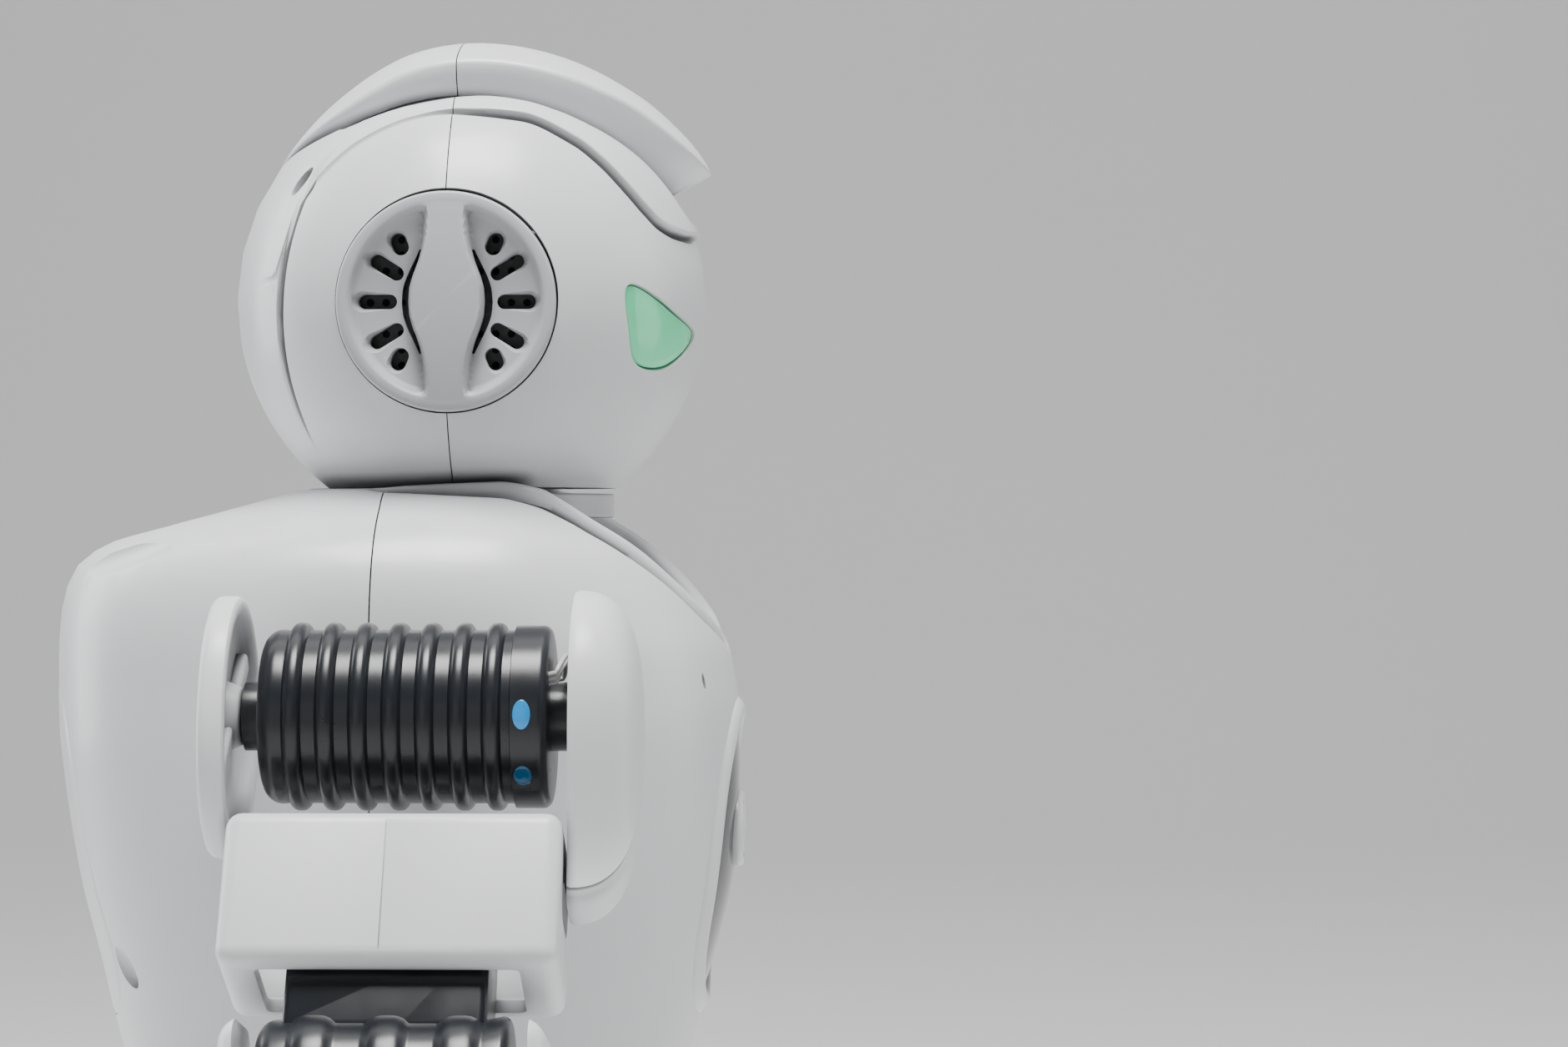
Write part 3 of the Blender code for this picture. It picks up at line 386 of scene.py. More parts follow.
def turned(bm, profile, axis, centre, segs):
    f = AX[axis]
    c = Vector(centre)
    open_ends = profile[0][1] < 1e-6 and profile[-1][1] < 1e-6
    rows = []
    for a, r in profile:
        if r < 1e-6:
            rows.append([bm.verts.new(c + Vector(f(a, 0, 0)))])
        else:
            rows.append([bm.verts.new(c + Vector(f(a, r, 2 * pi * j / segs))) for j in range(segs)])
    pairs = list(zip(rows, rows[1:]))
    if not open_ends:
        pairs.append((rows[-1], rows[0]))
    for p, q in pairs:
        for j in range(segs):
            k = (j + 1) % segs
            if len(p) == 1:
                bm.faces.new((p[0], q[j], q[k]))
            elif len(q) == 1:
                bm.faces.new((p[j], q[0], p[k]))
            else:
                bm.faces.new((p[j], q[j], q[k], p[k]))
    return bm


def round_profile(pts, radius=0.6, n=4, closed=False):
    """Rounds the corners of an (along, radius) profile."""
    out = []
    m = len(pts)
    for i, p in enumerate(pts):
        if not closed and i in (0, m - 1):
            out.append(p)
            continue
        a, b = Vector(pts[i - 1]), Vector(pts[(i + 1) % m])
        q = Vector(p)
        d0, d1 = a - q, b - q
        r = min(radius, 0.45 * d0.length, 0.45 * d1.length)
        if r < 0.02 or q.y < 1e-6:
            out.append(p)
            continue
        d0.normalize()
        d1.normalize()
        s, e = q + d0 * r, q + d1 * r
        for k in range(n + 1):
            t = k / n
            w = s * (1 - t) ** 2 + q * 2 * t * (1 - t) + e * t * t
            out.append((w.x, w.y))
    return out


def block(bm, lo, hi, bevel=0.0, segs=3):
    r = bmesh.ops.create_cube(bm, size=1.0)
    vs = r["verts"]
    for v in vs:
        v.co = Vector([lo[i] + (v.co[i] + 0.5) * (hi[i] - lo[i]) for i in range(3)])
    if bevel > 0:
        es = list({e for v in vs for e in v.link_edges})
        bmesh.ops.bevel(bm, geom=es, offset=bevel, segments=segs, profile=0.5, affect="EDGES")
    return bm


def prism(bm, outline, lo, hi, axis="X"):
    f = {"X": lambda p, a: (a, p[0], p[1]), "Y": lambda p, a: (p[0], a, p[1]),
         "Z": lambda p, a: (p[0], p[1], a)}[axis]
    return ring_loft(bm, [[f(p, lo) for p in outline], [f(p, hi) for p in outline]])


def place(bm, m):
    bmesh.ops.transform(bm, matrix=m, verts=bm.verts[:])
    return bm


def interp(x, table):
    n = len(table)
    if x <= table[0][0]:
        return table[0][1:]
    if x >= table[-1][0]:
        return table[-1][1:]
    for i in range(n - 1):
        x0, x1 = table[i][0], table[i + 1][0]
        if x0 <= x <= x1:
            t = (x - x0) / (x1 - x0)
            out = []
            for k in range(1, len(table[0])):
                y0, y1 = table[i][k], table[i + 1][k]
                s = (y1 - y0) / (x1 - x0)
                sl = (y0 - table[i - 1][k]) / (x0 - table[i - 1][0]) if i else s
                sr = (table[i + 2][k] - y1) / (table[i + 2][0] - x1) if i < n - 2 else s
                m0 = 0 if sl * s <= 0 else 2 * sl * s / (sl + s)
                m1 = 0 if sr * s <= 0 else 2 * sr * s / (sr + s)
                h = x1 - x0
                out.append((2 * t**3 - 3 * t**2 + 1) * y0 + (t**3 - 2 * t**2 + t) * h * m0
                           + (-2 * t**3 + 3 * t**2) * y1 + (t**3 - t**2) * h * m1)
            return tuple(out)


def sstep(x, a, b):
    t = min(1.0, max(0.0, (x - a) / (b - a)))
    return t * t * (3 - 2 * t)


# ---------------------------------------------------------------- head
# feature curves on the ball: angle in the middle plane up from straight ahead, and angle sideways
GROOVE = [(15.7, 0.0), (15.7, 8.0), (15.8, 15.8), (17.0, 22.5), (19.9, 28.4), (25.0, 32.0), (33.0, 34.6),
          (43.0, 36.0), (53.0, 36.9), (70.0, 38.4), (90.0, 40.2), (105.0, 40.7), (122.0, 41.0),
          (134.0, 41.2), (146.0, 41.4), (160.0, 41.2), (175.0, 40.4), (191.0, 39.6), (205.0, 38.0)]
BAND = [(19.2, 0.0), (19.5, 6.0), (20.8, 10.2), (23.6, 13.4), (30.0, 16.8), (38.6, 20.6), (46.0, 23.8),
        (53.4, 26.8), (63.0, 29.6), (72.0, 31.4), (81.0, 32.6), (90.0, 33.1), (104.0, 33.4), (115.0, 32.2),
        (125.0, 29.0), (133.0, 23.6), (139.0, 16.6), (143.5, 9.0), (145.6, 0.0)]
TOP = radians(82.0)
E1 = Vector((cos(TOP), 0, sin(TOP)))
E2 = Vector((sin(TOP), 0, -cos(TOP)))
E3 = Vector((0, 1, 0))


def to_polar(theta, lam):
    t, l = radians(theta), radians(lam)
    d = Vector((cos(l) * cos(t), sin(l), cos(l) * sin(t)))
    return degrees(atan2(d.dot(E3), d.dot(E2))), degrees(acos(max(-1, min(1, d.dot(E1)))))


def curve_table(pts, tail=None):
    tb = [to_polar(*p) for p in pts]
    if tail:
        tb += tail
    tb = sorted(tb)
    # sorted by azimuth, to be read by azimuth
    v = [Vector((a, b)) for a, b in tb]
    return [(a.x, a.y) for a in v]


GROOVE_T = curve_table(GROOVE, [(180.0, 118.0)])
BAND_T = curve_table(BAND)


def dir_at(chi, om):
    return E1 * cos(chi) + (E2 * cos(om) + E3 * sin(om)) * sin(chi)


def head_mesh():
    nw = 240
    rows_a = 26
    outer_cols = []
    for j in range(nw):
        om = 2 * pi * j / nw
        oa = abs(degrees(om if om <= pi else om - 2 * pi))
        cg = interp(oa, GROOVE_T)[0]
        cb = interp(oa, BAND_T)[0]
        h = 0.8
        sg = (interp(min(oa + h, 180), GROOVE_T)[0] - interp(max(oa - h, 0), GROOVE_T)[0]) / (min(oa + h, 180) - max(oa - h, 0))
        sec = min(3.0, sqrt(1 + (sg / max(0.3, sin(radians(cg)))) ** 2))
        # lower end of the shell on the flat under the ball
        lo, hi = 1.2, pi
        zc = -35.5 / HEAD_R
        for _ in range(40):
            mid = (lo + hi) / 2
            if dir_at(mid, om).z > zc:
                lo = mid
            else:
                hi = mid
        ce = degrees(lo)
        fade = 1.0 - sstep(oa, 78.0, 116.0)
        last = 1.0 - sstep(oa, 132.0, 150.0)
        w = degrees(1.0 / HEAD_R) * sec      # one millimetre across the curve, in degrees
        chis = []
        # inside the channel, up to the band
        for k in range(7):
            chis.append((cb - 1.2 * w) * k / 7)
        for k in range(9):
            chis.append(cb + w * (-1.2 + 1.8 * k / 8))
        mid0, mid1 = cb + 0.75 * w, cg - 1.75 * w
        for k in range(1, 4):
            chis.append(mid0 + (mid1 - mid0) * k / 4)
        for k in range(17):
            chis.append(cg + w * (-1.75 + 3.0 * k / 16))
        s = cg + 1.3 * w
        for k in range(1, rows_a + 1):
            chis.append(s + (ce - s) * k / rows_a)
        for k in range(1, len(chis)):
            chis[k] = max(chis[k], chis[k - 1] + 0.02)
        col = []
        for c in chis:
            c = min(c, ce)
            a = (cg - c) / w                  # millimetres inside the groove line
            b = (cb - c) / w                  # millimetres inside the band's inner edge
            r = HEAD_R
            bt = sstep(a, 0.35, 1.15) * fade
            r += 1.0 * bt
            r -= (2.0 + 1.0 * fade) * sstep(b, -0.3, 0.6)
            r -= 0.25 * sstep(b, -0.9, -0.1) * (1 - sstep(b, -0.1, 0.6))
            gd = (0.30 + 0.70 * fade) * last
            r -= 1.7 * gd * max(0.0, 1 - (a / 0.72) ** 2) ** 0.6 if abs(a) < 0.72 else 0.0
            col.append((c, r))
        outer_cols.append((om, col))
    bm = B()
    top = bm.verts.new(HEAD + E1 * (HEAD_R - 2.0))
    itop = bm.verts.new(HEAD + E1 * (HEAD_R - 3.6))
    av, bv = [], []
    for om, col in outer_cols:
        av.append([bm.verts.new(HEAD + dir_at(radians(c), om) * r) for c, r in col[1:]])
        bv.append([bm.verts.new(HEAD + dir_at(radians(c), om) * (HEAD_R - 3.6)) for c, r in col[1::3]])
    for vs, t in ((av, top), (bv, itop)):
        for j in range(nw):
            p, q = vs[j], vs[(j + 1) % nw]
            bm.faces.new((t, p[0], q[0]))
            for i in range(len(p) - 1):
                bm.faces.new((p[i], p[i + 1], q[i + 1], q[i]))
    for j in range(nw):
        p, q, r, s = av[j], av[(j + 1) % nw], bv[(j + 1) % nw], bv[j]
        bm.faces.new((p[-1], s[-1], r[-1], q[-1]))
    return bm


EYE = [(44.6, 1.6), (41.6, 2.5), (33.6, -0.3), (24.6, -3.9), (15.1, -6.9), (13.2, -8.3),
       (14.8, -10.9), (20.2, -14.3), (26.4, -16.8), (32.6, -17.5), (37.8, -16.7),
       (41.2, -13.9), (43.2, -8.5), (44.8, -2.5)]
EYE_C = (31.1, -7.8)


def smooth_loop(pts, n):
    """Closed Catmull-Rom curve through the points."""
    out = []
    m = len(pts)
    for i in range(m):
        p0, p1, p2, p3 = (pts[(i + k - 1) % m] for k in range(4))
        for k in range(n):
            t = k / n
            out.append(tuple(0.5 * (2 * p1[c] + (p2[c] - p0[c]) * t
                                    + (2 * p0[c] - 5 * p1[c] + 4 * p2[c] - p3[c]) * t * t
                                    + (3 * p1[c] - p0[c] - 3 * p2[c] + p3[c]) * t ** 3) for c in range(2)))
    return out


EYE_S = smooth_loop(EYE, 5)


def ball_point(az, el, r, s):
    a, e = radians(az), radians(el)
    return HEAD + r * Vector((cos(e) * cos(a), s * cos(e) * sin(a), sin(e)))


def eye_rows(s, layers):
    """layers: (radius, growth in mm, scale from the centre) from the inside out."""
    bm = B()
    rows = []
    for r, grow, f in layers:
        if f == 0:
            rows.append([bm.verts.new(ball_point(EYE_C[0], EYE_C[1], r, s))])
            continue
        row = []
        for az, el in EYE_S:
            da, de = az - EYE_C[0], el - EYE_C[1]
            ln = sqrt(da * da + de * de)
            g = f * (1 + grow / (r * radians(1) * ln))
            row.append(bm.verts.new(ball_point(EYE_C[0] + da * g, EYE_C[1] + de * g, r, s)))
        rows.append(row)
    m = len(EYE_S)
    for p, q in zip(rows, rows[1:]):
        for j in range(m):
            k = (j + 1) % m
            if len(p) == 1:
                bm.faces.new((p[0], q[j], q[k]))
            elif len(q) == 1:
                bm.faces.new((p[j], q[0], p[k]))
            else:
                bm.faces.new((p[j], q[j], q[k], p[k]))
    return bm


def eye_tool(s):
    return eye_rows(s, [(38.0, 0.0, 0), (38.0, 0.1, 0.5), (38.0, 0.1, 1), (44.55, 0.1, 1), (45.05, 0.45, 1),
                        (49.0, 0.9, 1), (49.0, 0.5, 0.5), (49.0, 0, 0)])


head = obj("head_body", head_mesh(), WHITE, 28)
for s in (-1, 1):
    cyl = [(s * 25.0, 0), (s * 25.0, EAR_R + 0.28), (s * 40.2, EAR_R + 0.28), (s * 40.9, EAR_R + 0.75),
           (s * 60.0, EAR_R + 0.75 + 8), (s * 60.0, 0)]
    cut(head, turned(B(), cyl, "Y", (SEAM, 0, EAR_Z), 128), sharp=28)
    cut(head, eye_tool(s), sharp=28)
# small oval recesses at the back ends of the band
for s in (-1, 1):
    t, l = radians(143.5), radians(35.5)
    d = Vector((cos(l) * cos(t), s * sin(l), cos(l) * sin(t)))
    up = Vector((-sin(t), 0, cos(t)))
    rt = d.cross(up)
    up = rt.cross(d)
    bm = B()
    rings = []
    for k, (dep, f) in enumerate(((43.0, 0.0), (43.0, 0.7), (43.5, 0.92), (46.2, 1.12), (49.0, 1.25), (49.0, 0.0))):
        c = HEAD + d * dep
        rings.append([c] if f == 0 else [c + up * (3.3 * f * cos(a)) + rt * (1.5 * f * sin(a))
                                         for a in [2 * pi * i / 28 for i in range(28)]])
    vs = [[bm.verts.new(q) for q in r] for r in rings]
    for p, q in zip(vs, vs[1:]):
        for j in range(28):
            k = (j + 1) % 28
            if len(p) == 1:
                bm.faces.new((p[0], q[j], q[k]))
            elif len(q) == 1:
                bm.faces.new((p[j], q[0], p[k]))
            else:
                bm.faces.new((p[j], q[j], q[k], p[k]))
    cut(head, bm, sharp=28)


def split(ob, names, mat, plane, lo, hi, gap=0.11, nick=0.22):
    """Two shells either side of a plane across X, with a fine parting line."""
    a = ob
    b = ob.copy()
    b.data = ob.data.copy()
    bpy.context.scene.collection.objects.link(b)
    a.name, b.name = names
    cut(a, block(B(), (lo, -200, 0), (plane + gap, 200, 400)), sharp=28)
    cut(b, block(B(), (plane - gap, -200, 0), (hi, 200, 400)), sharp=28)
    return a, b


hf, hb = split(head, ("head_front", "head_back"), WHITE, SEAM, -200, 200)
put(hf, "head", ["head_shell_front"])
put(hb, "head", ["head_shell_back"])

CREST = [(28.4, 52.5, 2.4), (29.4, 52.7, 6.4), (31.5, 52.7, 9.4), (34.5, 52.6, 11.8), (41.0, 52.1, 14.4),
         (48.0, 51.7, 16.4), (57.0, 51.1, 18.8), (66.0, 50.8, 20.6), (78.0, 50.5, 21.9), (90.0, 50.2, 22.5),
         (102.0, 49.5, 22.6), (112.0, 48.2, 22.0), (121.0, 47.0, 20.2), (128.0, 46.3, 17.6),
         (134.0, 45.8, 14.2), (139.0, 45.45, 10.4), (143.0, 45.2, 6.4), (145.5, 45.1, 2.6)]


def crest():
    n = 96
    t0, t1 = CREST[0][0], CREST[-1][0]
    prof_n = 20
    rows = []
    for i in range(n + 1):
        f = i / n
        f = 0.5 - 0.5 * cos(pi * f) * (0.15 + 0.85 * 1)  # closer rows at the ends
        th = t0 + (t1 - t0) * f
        rho, hw = interp(th, CREST)
        t = radians(th)
        th_h = rho - 43.4
        er = min(0.9, 0.35 * th_h, hw * 0.5)             # edge rounding
        pts = []
        # top surface across, then the rounded edges and the undercut side walls
        for k in range(prof_n + 1):
            y = (hw - er) * sin(pi / 2 * (2 * k / prof_n - 1))
            pts.append((y, rho))
        right = []
        for k in range(1, 6):
            a = pi / 2 * k / 5
            right.append((hw - er + er * sin(a), rho - er + er * cos(a)))
        foot = max(0.4, hw - min(2.6, 0.45 * th_h))
        right.append((hw - 0.25, rho - er - 0.35 * (th_h - er)))
        right.append((foot + 0.5, 44.0))
        right.append((foot, 43.2))
        full = pts + right + [(-y, r) for y, r in reversed(right)]
        ring = []
        for y, r in full:
            q = sqrt(max(r * r - y * y, 1.0))
            ring.append(HEAD + Vector((q * cos(t), y, q * sin(t))))
        rows.append(ring)
    return ring_loft(B(), rows)


cr = obj("crest_body", crest(), WHITE, 40)
# the brow stands clear of the ball; it is split at the head seam into a front and a back piece
cr2 = cr.copy()
cr2.data = cr.data.copy()
bpy.context.scene.collection.objects.link(cr2)
cr.name, cr2.name = "crest_front", "crest_back"
cut(cr, block(B(), (-200, -200, 0), (SEAM + 0.11, 200, 400)), sharp=40)
cut(cr2, block(B(), (SEAM - 0.11, -200, 0), (200, 200, 400)), sharp=40)
put(cr, "head", ["head_crest"])
put(cr2, "head", ["head_crest"])

for side, s in SIDES:
    lens = eye_rows(s, [(42.6, 0, 0), (42.6, -0.4, 0.5), (42.6, -0.4, 1), (44.25, -0.25, 1), (44.55, -0.55, 1),
                        (44.62, -0.6, 0.8), (44.7, -0.5, 0.5), (44.75, -0.2, 0.2), (44.75, 0, 0)])
    put(obj("eye_" + side, lens, EYE_M, 50), "head", ["eye_lens_" + side])

# ---------------------------------------------------------------- ears
BRIDGE = [(0.0, 6.5), (2.2, 6.35), (4.5, 5.75), (6.6, 4.95), (8.5, 4.3), (10.5, 3.85), (12.5, 3.55), (15.0, 3.4), (17.5, 3.5)]
SLOTS = []
for sx in (-1, 1):
    SLOTS += [((sx * 8.5, 10.0), (sx * 9.0, 11.2), 3.0), ((sx * 9.3, 5.2), (sx * 12.9, 7.4), 2.7),
              ((sx * 10.6, 0.0), (sx * 15.0, 0.0), 2.8), ((sx * 9.3, -5.2), (sx * 12.9, -7.4), 2.7),
              ((sx * 8.5, -10.0), (sx * 9.0, -11.2), 3.0)]


def capsule(p, q, w, n=10):
    d = atan2(q[1] - p[1], q[0] - p[0])
    out = []
    for k in range(n + 1):
        a = d + pi / 2 + pi * k / n
        out.append((p[0] + w / 2 * cos(a), p[1] + w / 2 * sin(a)))
    for k in range(n + 1):
        a = d - pi / 2 + pi * k / n
        out.append((q[0] + w / 2 * cos(a), q[1] + w / 2 * sin(a)))
    return out


def ear_height(x, z):
    """Height of the ear's outer face at a point of the disc."""
    r = sqrt(x * x + z * z)
    xb = interp(abs(z), BRIDGE)[0]
    face = 41.35 + 1.9 * (1 - (r / 20.3) ** 2) * 0.9
    d1 = 18.3 - r                      # inside the rim
    d2 = abs(x) - xb                   # outside the bridge
    k = 1.6
    h = max(0.0, min(1.0, 0.5 + 0.5 * (d2 - d1) / k))
    dd = d2 * (1 - h) + d1 * h - k * h * (1 - h)
    floor = 40.6 - 3.3 * (1 - min(1.0, r / 18.0)) ** 0.9 - 0.3
    wall = sstep(dd, -0.15, 0.95 if d2 < d1 else 1.6)
    hgt = face * (1 - wall) + floor * wall
    hgt = min(hgt, face)
    # rim bead, rolled over at the outside
    if r > 18.8:
        hgt = min(hgt, face)
        hgt += 0.25 * sstep(r, 18.6, 19.2)
    if r > 19.7:
        t = (r - 19.7) / 0.6
        hgt -= 0.9 * (1 - sqrt(max(0.0, 1 - t * t)))
    return hgt


def ear_disc(s):
    na, nr = 176, 62
    bm = B()
    cen = bm.verts.new((SEAM, s * ear_height(0.001, 0), EAR_Z))
    rows = []
    for i in range(1, nr + 1):
        f = i / nr
        r = 20.3 * (f ** 0.92)
        if i > nr - 6:
            r = 19.65 + 0.65 * sin(pi / 2 * (i - nr + 6) / 6)
        row = []
        for j in range(na):
            a = 2 * pi * (j + 0.5) / na
            x, z = r * cos(a), r * sin(a)
            row.append(bm.verts.new((SEAM + x, s * ear_height(x, z), EAR_Z + z)))
        rows.append(row)
    for rr, y in ((20.3, 37.0), (19.0, 36.2), (10.0, 36.2)):
        rows.append([bm.verts.new((SEAM + rr * cos(2 * pi * (j + 0.5) / na), s * y,
                                   EAR_Z + rr * sin(2 * pi * (j + 0.5) / na))) for j in range(na)])
    cb = bm.verts.new((SEAM, s * 36.2, EAR_Z))
    for j in range(na):
        k = (j + 1) % na
        bm.faces.new((cen, rows[0][j], rows[0][k]))
        for p, q in zip(rows, rows[1:]):
            bm.faces.new((p[j], q[j], q[k], p[k]))
        bm.faces.new((rows[-1][j], cb, rows[-1][k]))
    return bm


for side, s in SIDES:
    ear = obj("ear_" + side, ear_disc(s), GREY, 38)
    for p, q, w in SLOTS:
        c1 = [(SEAM + a, EAR_Z + b) for a, b in capsule(p, q, w - 0.05)]
        c2 = [(SEAM + a, EAR_Z + b) for a, b in capsule(p, q, w + 2.6)]
        # a straight slot that flares at its mouth
        mx, mz = (p[0] + q[0]) / 2, (p[1] + q[1]) / 2
        yf = s * (40.2 - 3.3 * (1 - min(1.0, sqrt(mx * mx + mz * mz) / 18.0)) ** 0.9)
        bm = ring_loft(B(), [[(a, s * 34.0, b) for a, b in c1], [(a, yf - s * 0.35, b) for a, b in c1],
                             [(a, yf + s * 1.6, b) for a, b in c2]])
        cut(ear, bm, sharp=38)
    for sx in (-1, 1):
        # long opening under each side of the bridge
        zs = [-9.6 + 19.2 * k / 24 for k in range(25)]
        inner_e = [(SEAM + sx * (interp(abs(z), BRIDGE)[0] + 0.35), EAR_Z + z) for z in zs]
        outer_e = [(SEAM + sx * (interp(abs(z), BRIDGE)[0] + 0.35 + 1.55 * sqrt(max(0, 1 - (z / 10.6) ** 2))), EAR_Z + z) for z in reversed(zs)]
        loop = inner_e + outer_e
        bm = prism(B(), loop, s * 34.0, s * 39.6, "Y")
        cut(ear, bm, sharp=38)
    put(ear, "head", ["ear_cover_" + side])
    sp = [(s * 31.0, 0), (s * 31.0, 15.0), (s * 33.0, 18.3), (s * 35.6, 18.6), (s * 35.6, 0)]
    put(obj("speaker_" + side, turned(B(), round_profile(sp, 0.5), "Y", (SEAM, 0, EAR_Z), 64), PERF), "head",
        ["ear_speaker_" + side])

# ---------------------------------------------------------------- neck
put(obj("neck_collar", turned(B(), round_profile([(-41.2, 21.4), (-41.2, 27.4), (-37.0, 27.4), (-36.5, 27.1), (-37.4, 25.9),
                                                  (-39.6, 24.0), (-39.6, 21.4)], 0.7, closed=True), "Z", (HX, 0, HZ), 144), WHITE),
    "neck", ["neck_ring"])

# ---------------------------------------------------------------- torso
TORSO = [(-166.0, -50.0, 26.0, 30.0, 2.2), (-164.0, -55.0, 31.0, 33.0, 2.25),
         (-156.0, -61.6, 37.2, 38.0, 2.3), (-143.0, -66.4, 42.3, 42.5, 2.35),
         (-125.0, -70.6, 46.6, 47.0, 2.4), (-110.0, -74.3, 49.4, 50.5, 2.4),
         (-95.0, -76.8, 50.8, 53.0, 2.4), (-80.0, -78.4, 51.6, 54.4, 2.4),
         (-68.0, -78.6, 50.0, 54.4, 2.4), (-58.0, -78.0, 46.3, 53.0, 2.4),
         (-51.0, -75.6, 42.6, 50.5, 2.4), (-46.5, -70.2, 39.8, 47.5, 2.35),
         (-42.5, -57.0, 36.6, 43.0, 2.2), (-39.5, -46.0, 34.8, 38.5, 2.1),
         (-37.4, -38.5, 33.9, 35.5, 2.05), (-36.0, -34.0, 33.0, 33.0, 2.0)]
NECKLINE = [(0.0, -64.0), (15.0, -57.8), (30.0, -48.6), (40.0, -43.8), (49.0, -40.2),
            (60.0, -37.4), (75.0, -36.05), (180.0, -36.0)]
CHEST_Z, CHEST_HZ, CHEST_HY = HZ - 106.0, 26.0, 17.0
BACK_Z, BACK_HZ, BACK_HY = HZ - 104.0, 32.0, 27.0
BUTTON_Z = HZ - 101.0
# the width of the collar groove by angle from straight ahead
LIPW = [(0.0, 2.9), (40.0, 2.9), (70.0, 2.6), (90.0, 1.8), (108.0, 0.8), (122.0, 0.0), (180.0, 0.0)]


def torso_point(phi, v, inset=0.0):
    bk, fr, hw, n = interp(v, TORSO)
    cx, a, b = (fr + bk) / 2, (fr - bk) / 2 - inset, hw - inset
    c, s = cos(phi), sin(phi)
    e = 2.0 / n
    return Vector((HX + cx + a * (abs(c) ** e) * (1 if c >= 0 else -1), b * (abs(s) ** e) * (1 if s >= 0 else -1), HZ + v))


def torso_x(y, v, front, inset=0.0):
    bk, fr, hw, n = interp(v, TORSO)
    cx, a, b = (fr + bk) / 2, (fr - bk) / 2 - inset, hw - inset
    f = max(0.0, 1 - abs(y / b) ** n) ** (1 / n)
    return HX + cx + (a if front else -a) * f


def neck_v(phi):
    return interp(abs((phi + pi) % (2 * pi) - pi) * 180 / pi, NECKLINE)[0]


def torso_normal(phi, v):
    e = 0.4
    n1 = torso_point(phi, min(v + e, -36.0)) - torso_point(phi, max(v - e, -166.0))
    n2 = torso_point(phi + 0.01, v) - torso_point(phi - 0.01, v)
    nn = n2.cross(n1)
    nn.normalize()
    o = torso_point(phi, v)
    if nn.dot(o - Vector((HX - 14, 0, o.z))) < 0:
        nn = -nn
    return nn


NEAR = [0.0, 0.3, 0.6, 0.9, 1.2, 1.5, 1.8, 2.0, 2.2, 2.4, 2.6, 2.75, 2.9, 3.05, 3.2, 3.4, 3.7, 4.2, 4.8, 5.8]


def torso_shell(p0, p1, cols, far=46):
    outer, inner = [], []
    for j in range(cols):
        phi = p0 + (p1 - p0) * j / (cols - 1)
        deg = abs(degrees((phi + pi) % (2 * pi) - pi))
        top = neck_v(phi)
        n = 260
        vs = [top + (-166.0 - top) * k / n for k in range(n + 1)]
        ps = [torso_point(phi, v) for v in vs]
        acc = [0.0]
        for a, b in zip(ps, ps[1:]):
            acc.append(acc[-1] + (b - a).length)
        total = acc[-1]
        wanted = NEAR + [5.8 + (total - 5.8) * (0.25 * (k / far) + 0.75 * (0.5 - 0.5 * cos(pi * k / far))) for k in range(1, far + 1)]
        w = interp(deg, LIPW)[0]
        oc, ic = [], []
        idx = 0
        for d in wanted:
            while idx < n - 1 and acc[idx + 1] < d:
                idx += 1
            t = (d - acc[idx]) / max(1e-6, acc[idx + 1] - acc[idx])
            v = vs[idx] + (vs[idx + 1] - vs[idx]) * min(1.0, max(0.0, t))
            nn = torso_normal(phi, v)
            o = torso_point(phi, v)
            dep = 0.0
            if w > 0.05:
                dep = 1.9 * min(1.0, w / 1.6) * (1 - sstep(d, w - 0.15, w + 0.35))
            # the shoulder edge of the groove is rolled a little
            if w > 0.05:
                dep += 0.18 * (1 - sstep(d, w + 0.3, w + 1.4)) * sstep(d, w, w + 0.3)
            inn = nn.copy()
            inn.z = min(max(inn.z, -0.35), 0.85)
            inn.normalize()
            oc.append(o - nn * dep)
            ic.append(o - inn * 2.6)
        outer.append(oc)
        inner.append(ic)
    return grid_solid(B(), outer, inner)


def patch(zc, hz, hy, front, lift, thick, grow=0.0, segs=128, rings=16, power=2.8, dome=0.0, roll=0.0):
    """Plate that follows the torso surface inside a rounded outline."""
    bm = B()
    s = 1 if front else -1
    lay = []
    for off, dm, rl in ((lift, dome, roll), (lift - thick, 0.0, 0.0)):
        rows = []
        for i in range(rings + 1):
            f = sin(pi / 2 * i / rings)
            up = dm * (1 - f * f) - rl * max(0.0, (f - 0.955) / 0.045) ** 2
            if i == 0:
                rows.append([bm.verts.new((torso_x(0, zc - HZ, front) + s * (off + up), 0, zc))])
                continue
            row = []
            for j in range(segs):
                t = 2 * pi * j / segs
                c, q = cos(t), sin(t)
                y = f * (hy + grow) * abs(c) ** (2 / power) * (1 if c >= 0 else -1)
                z = f * (hz + grow) * abs(q) ** (2 / power) * (1 if q >= 0 else -1)
                row.append(bm.verts.new((torso_x(y, zc + z - HZ, front) + s * (off + up), y, zc + z)))
            rows.append(row)
        lay.append(rows)
    for rows in lay:
        for j in range(segs):
            k = (j + 1) % segs
            bm.faces.new((rows[0][0], rows[1][j], rows[1][k]))
            for i in range(1, rings):
                bm.faces.new((rows[i][j], rows[i + 1][j], rows[i + 1][k], rows[i][k]))
    for j in range(segs):
        k = (j + 1) % segs
        bm.faces.new((lay[0][-1][j], lay[1][-1][j], lay[1][-1][k], lay[0][-1][k]))
    return bm


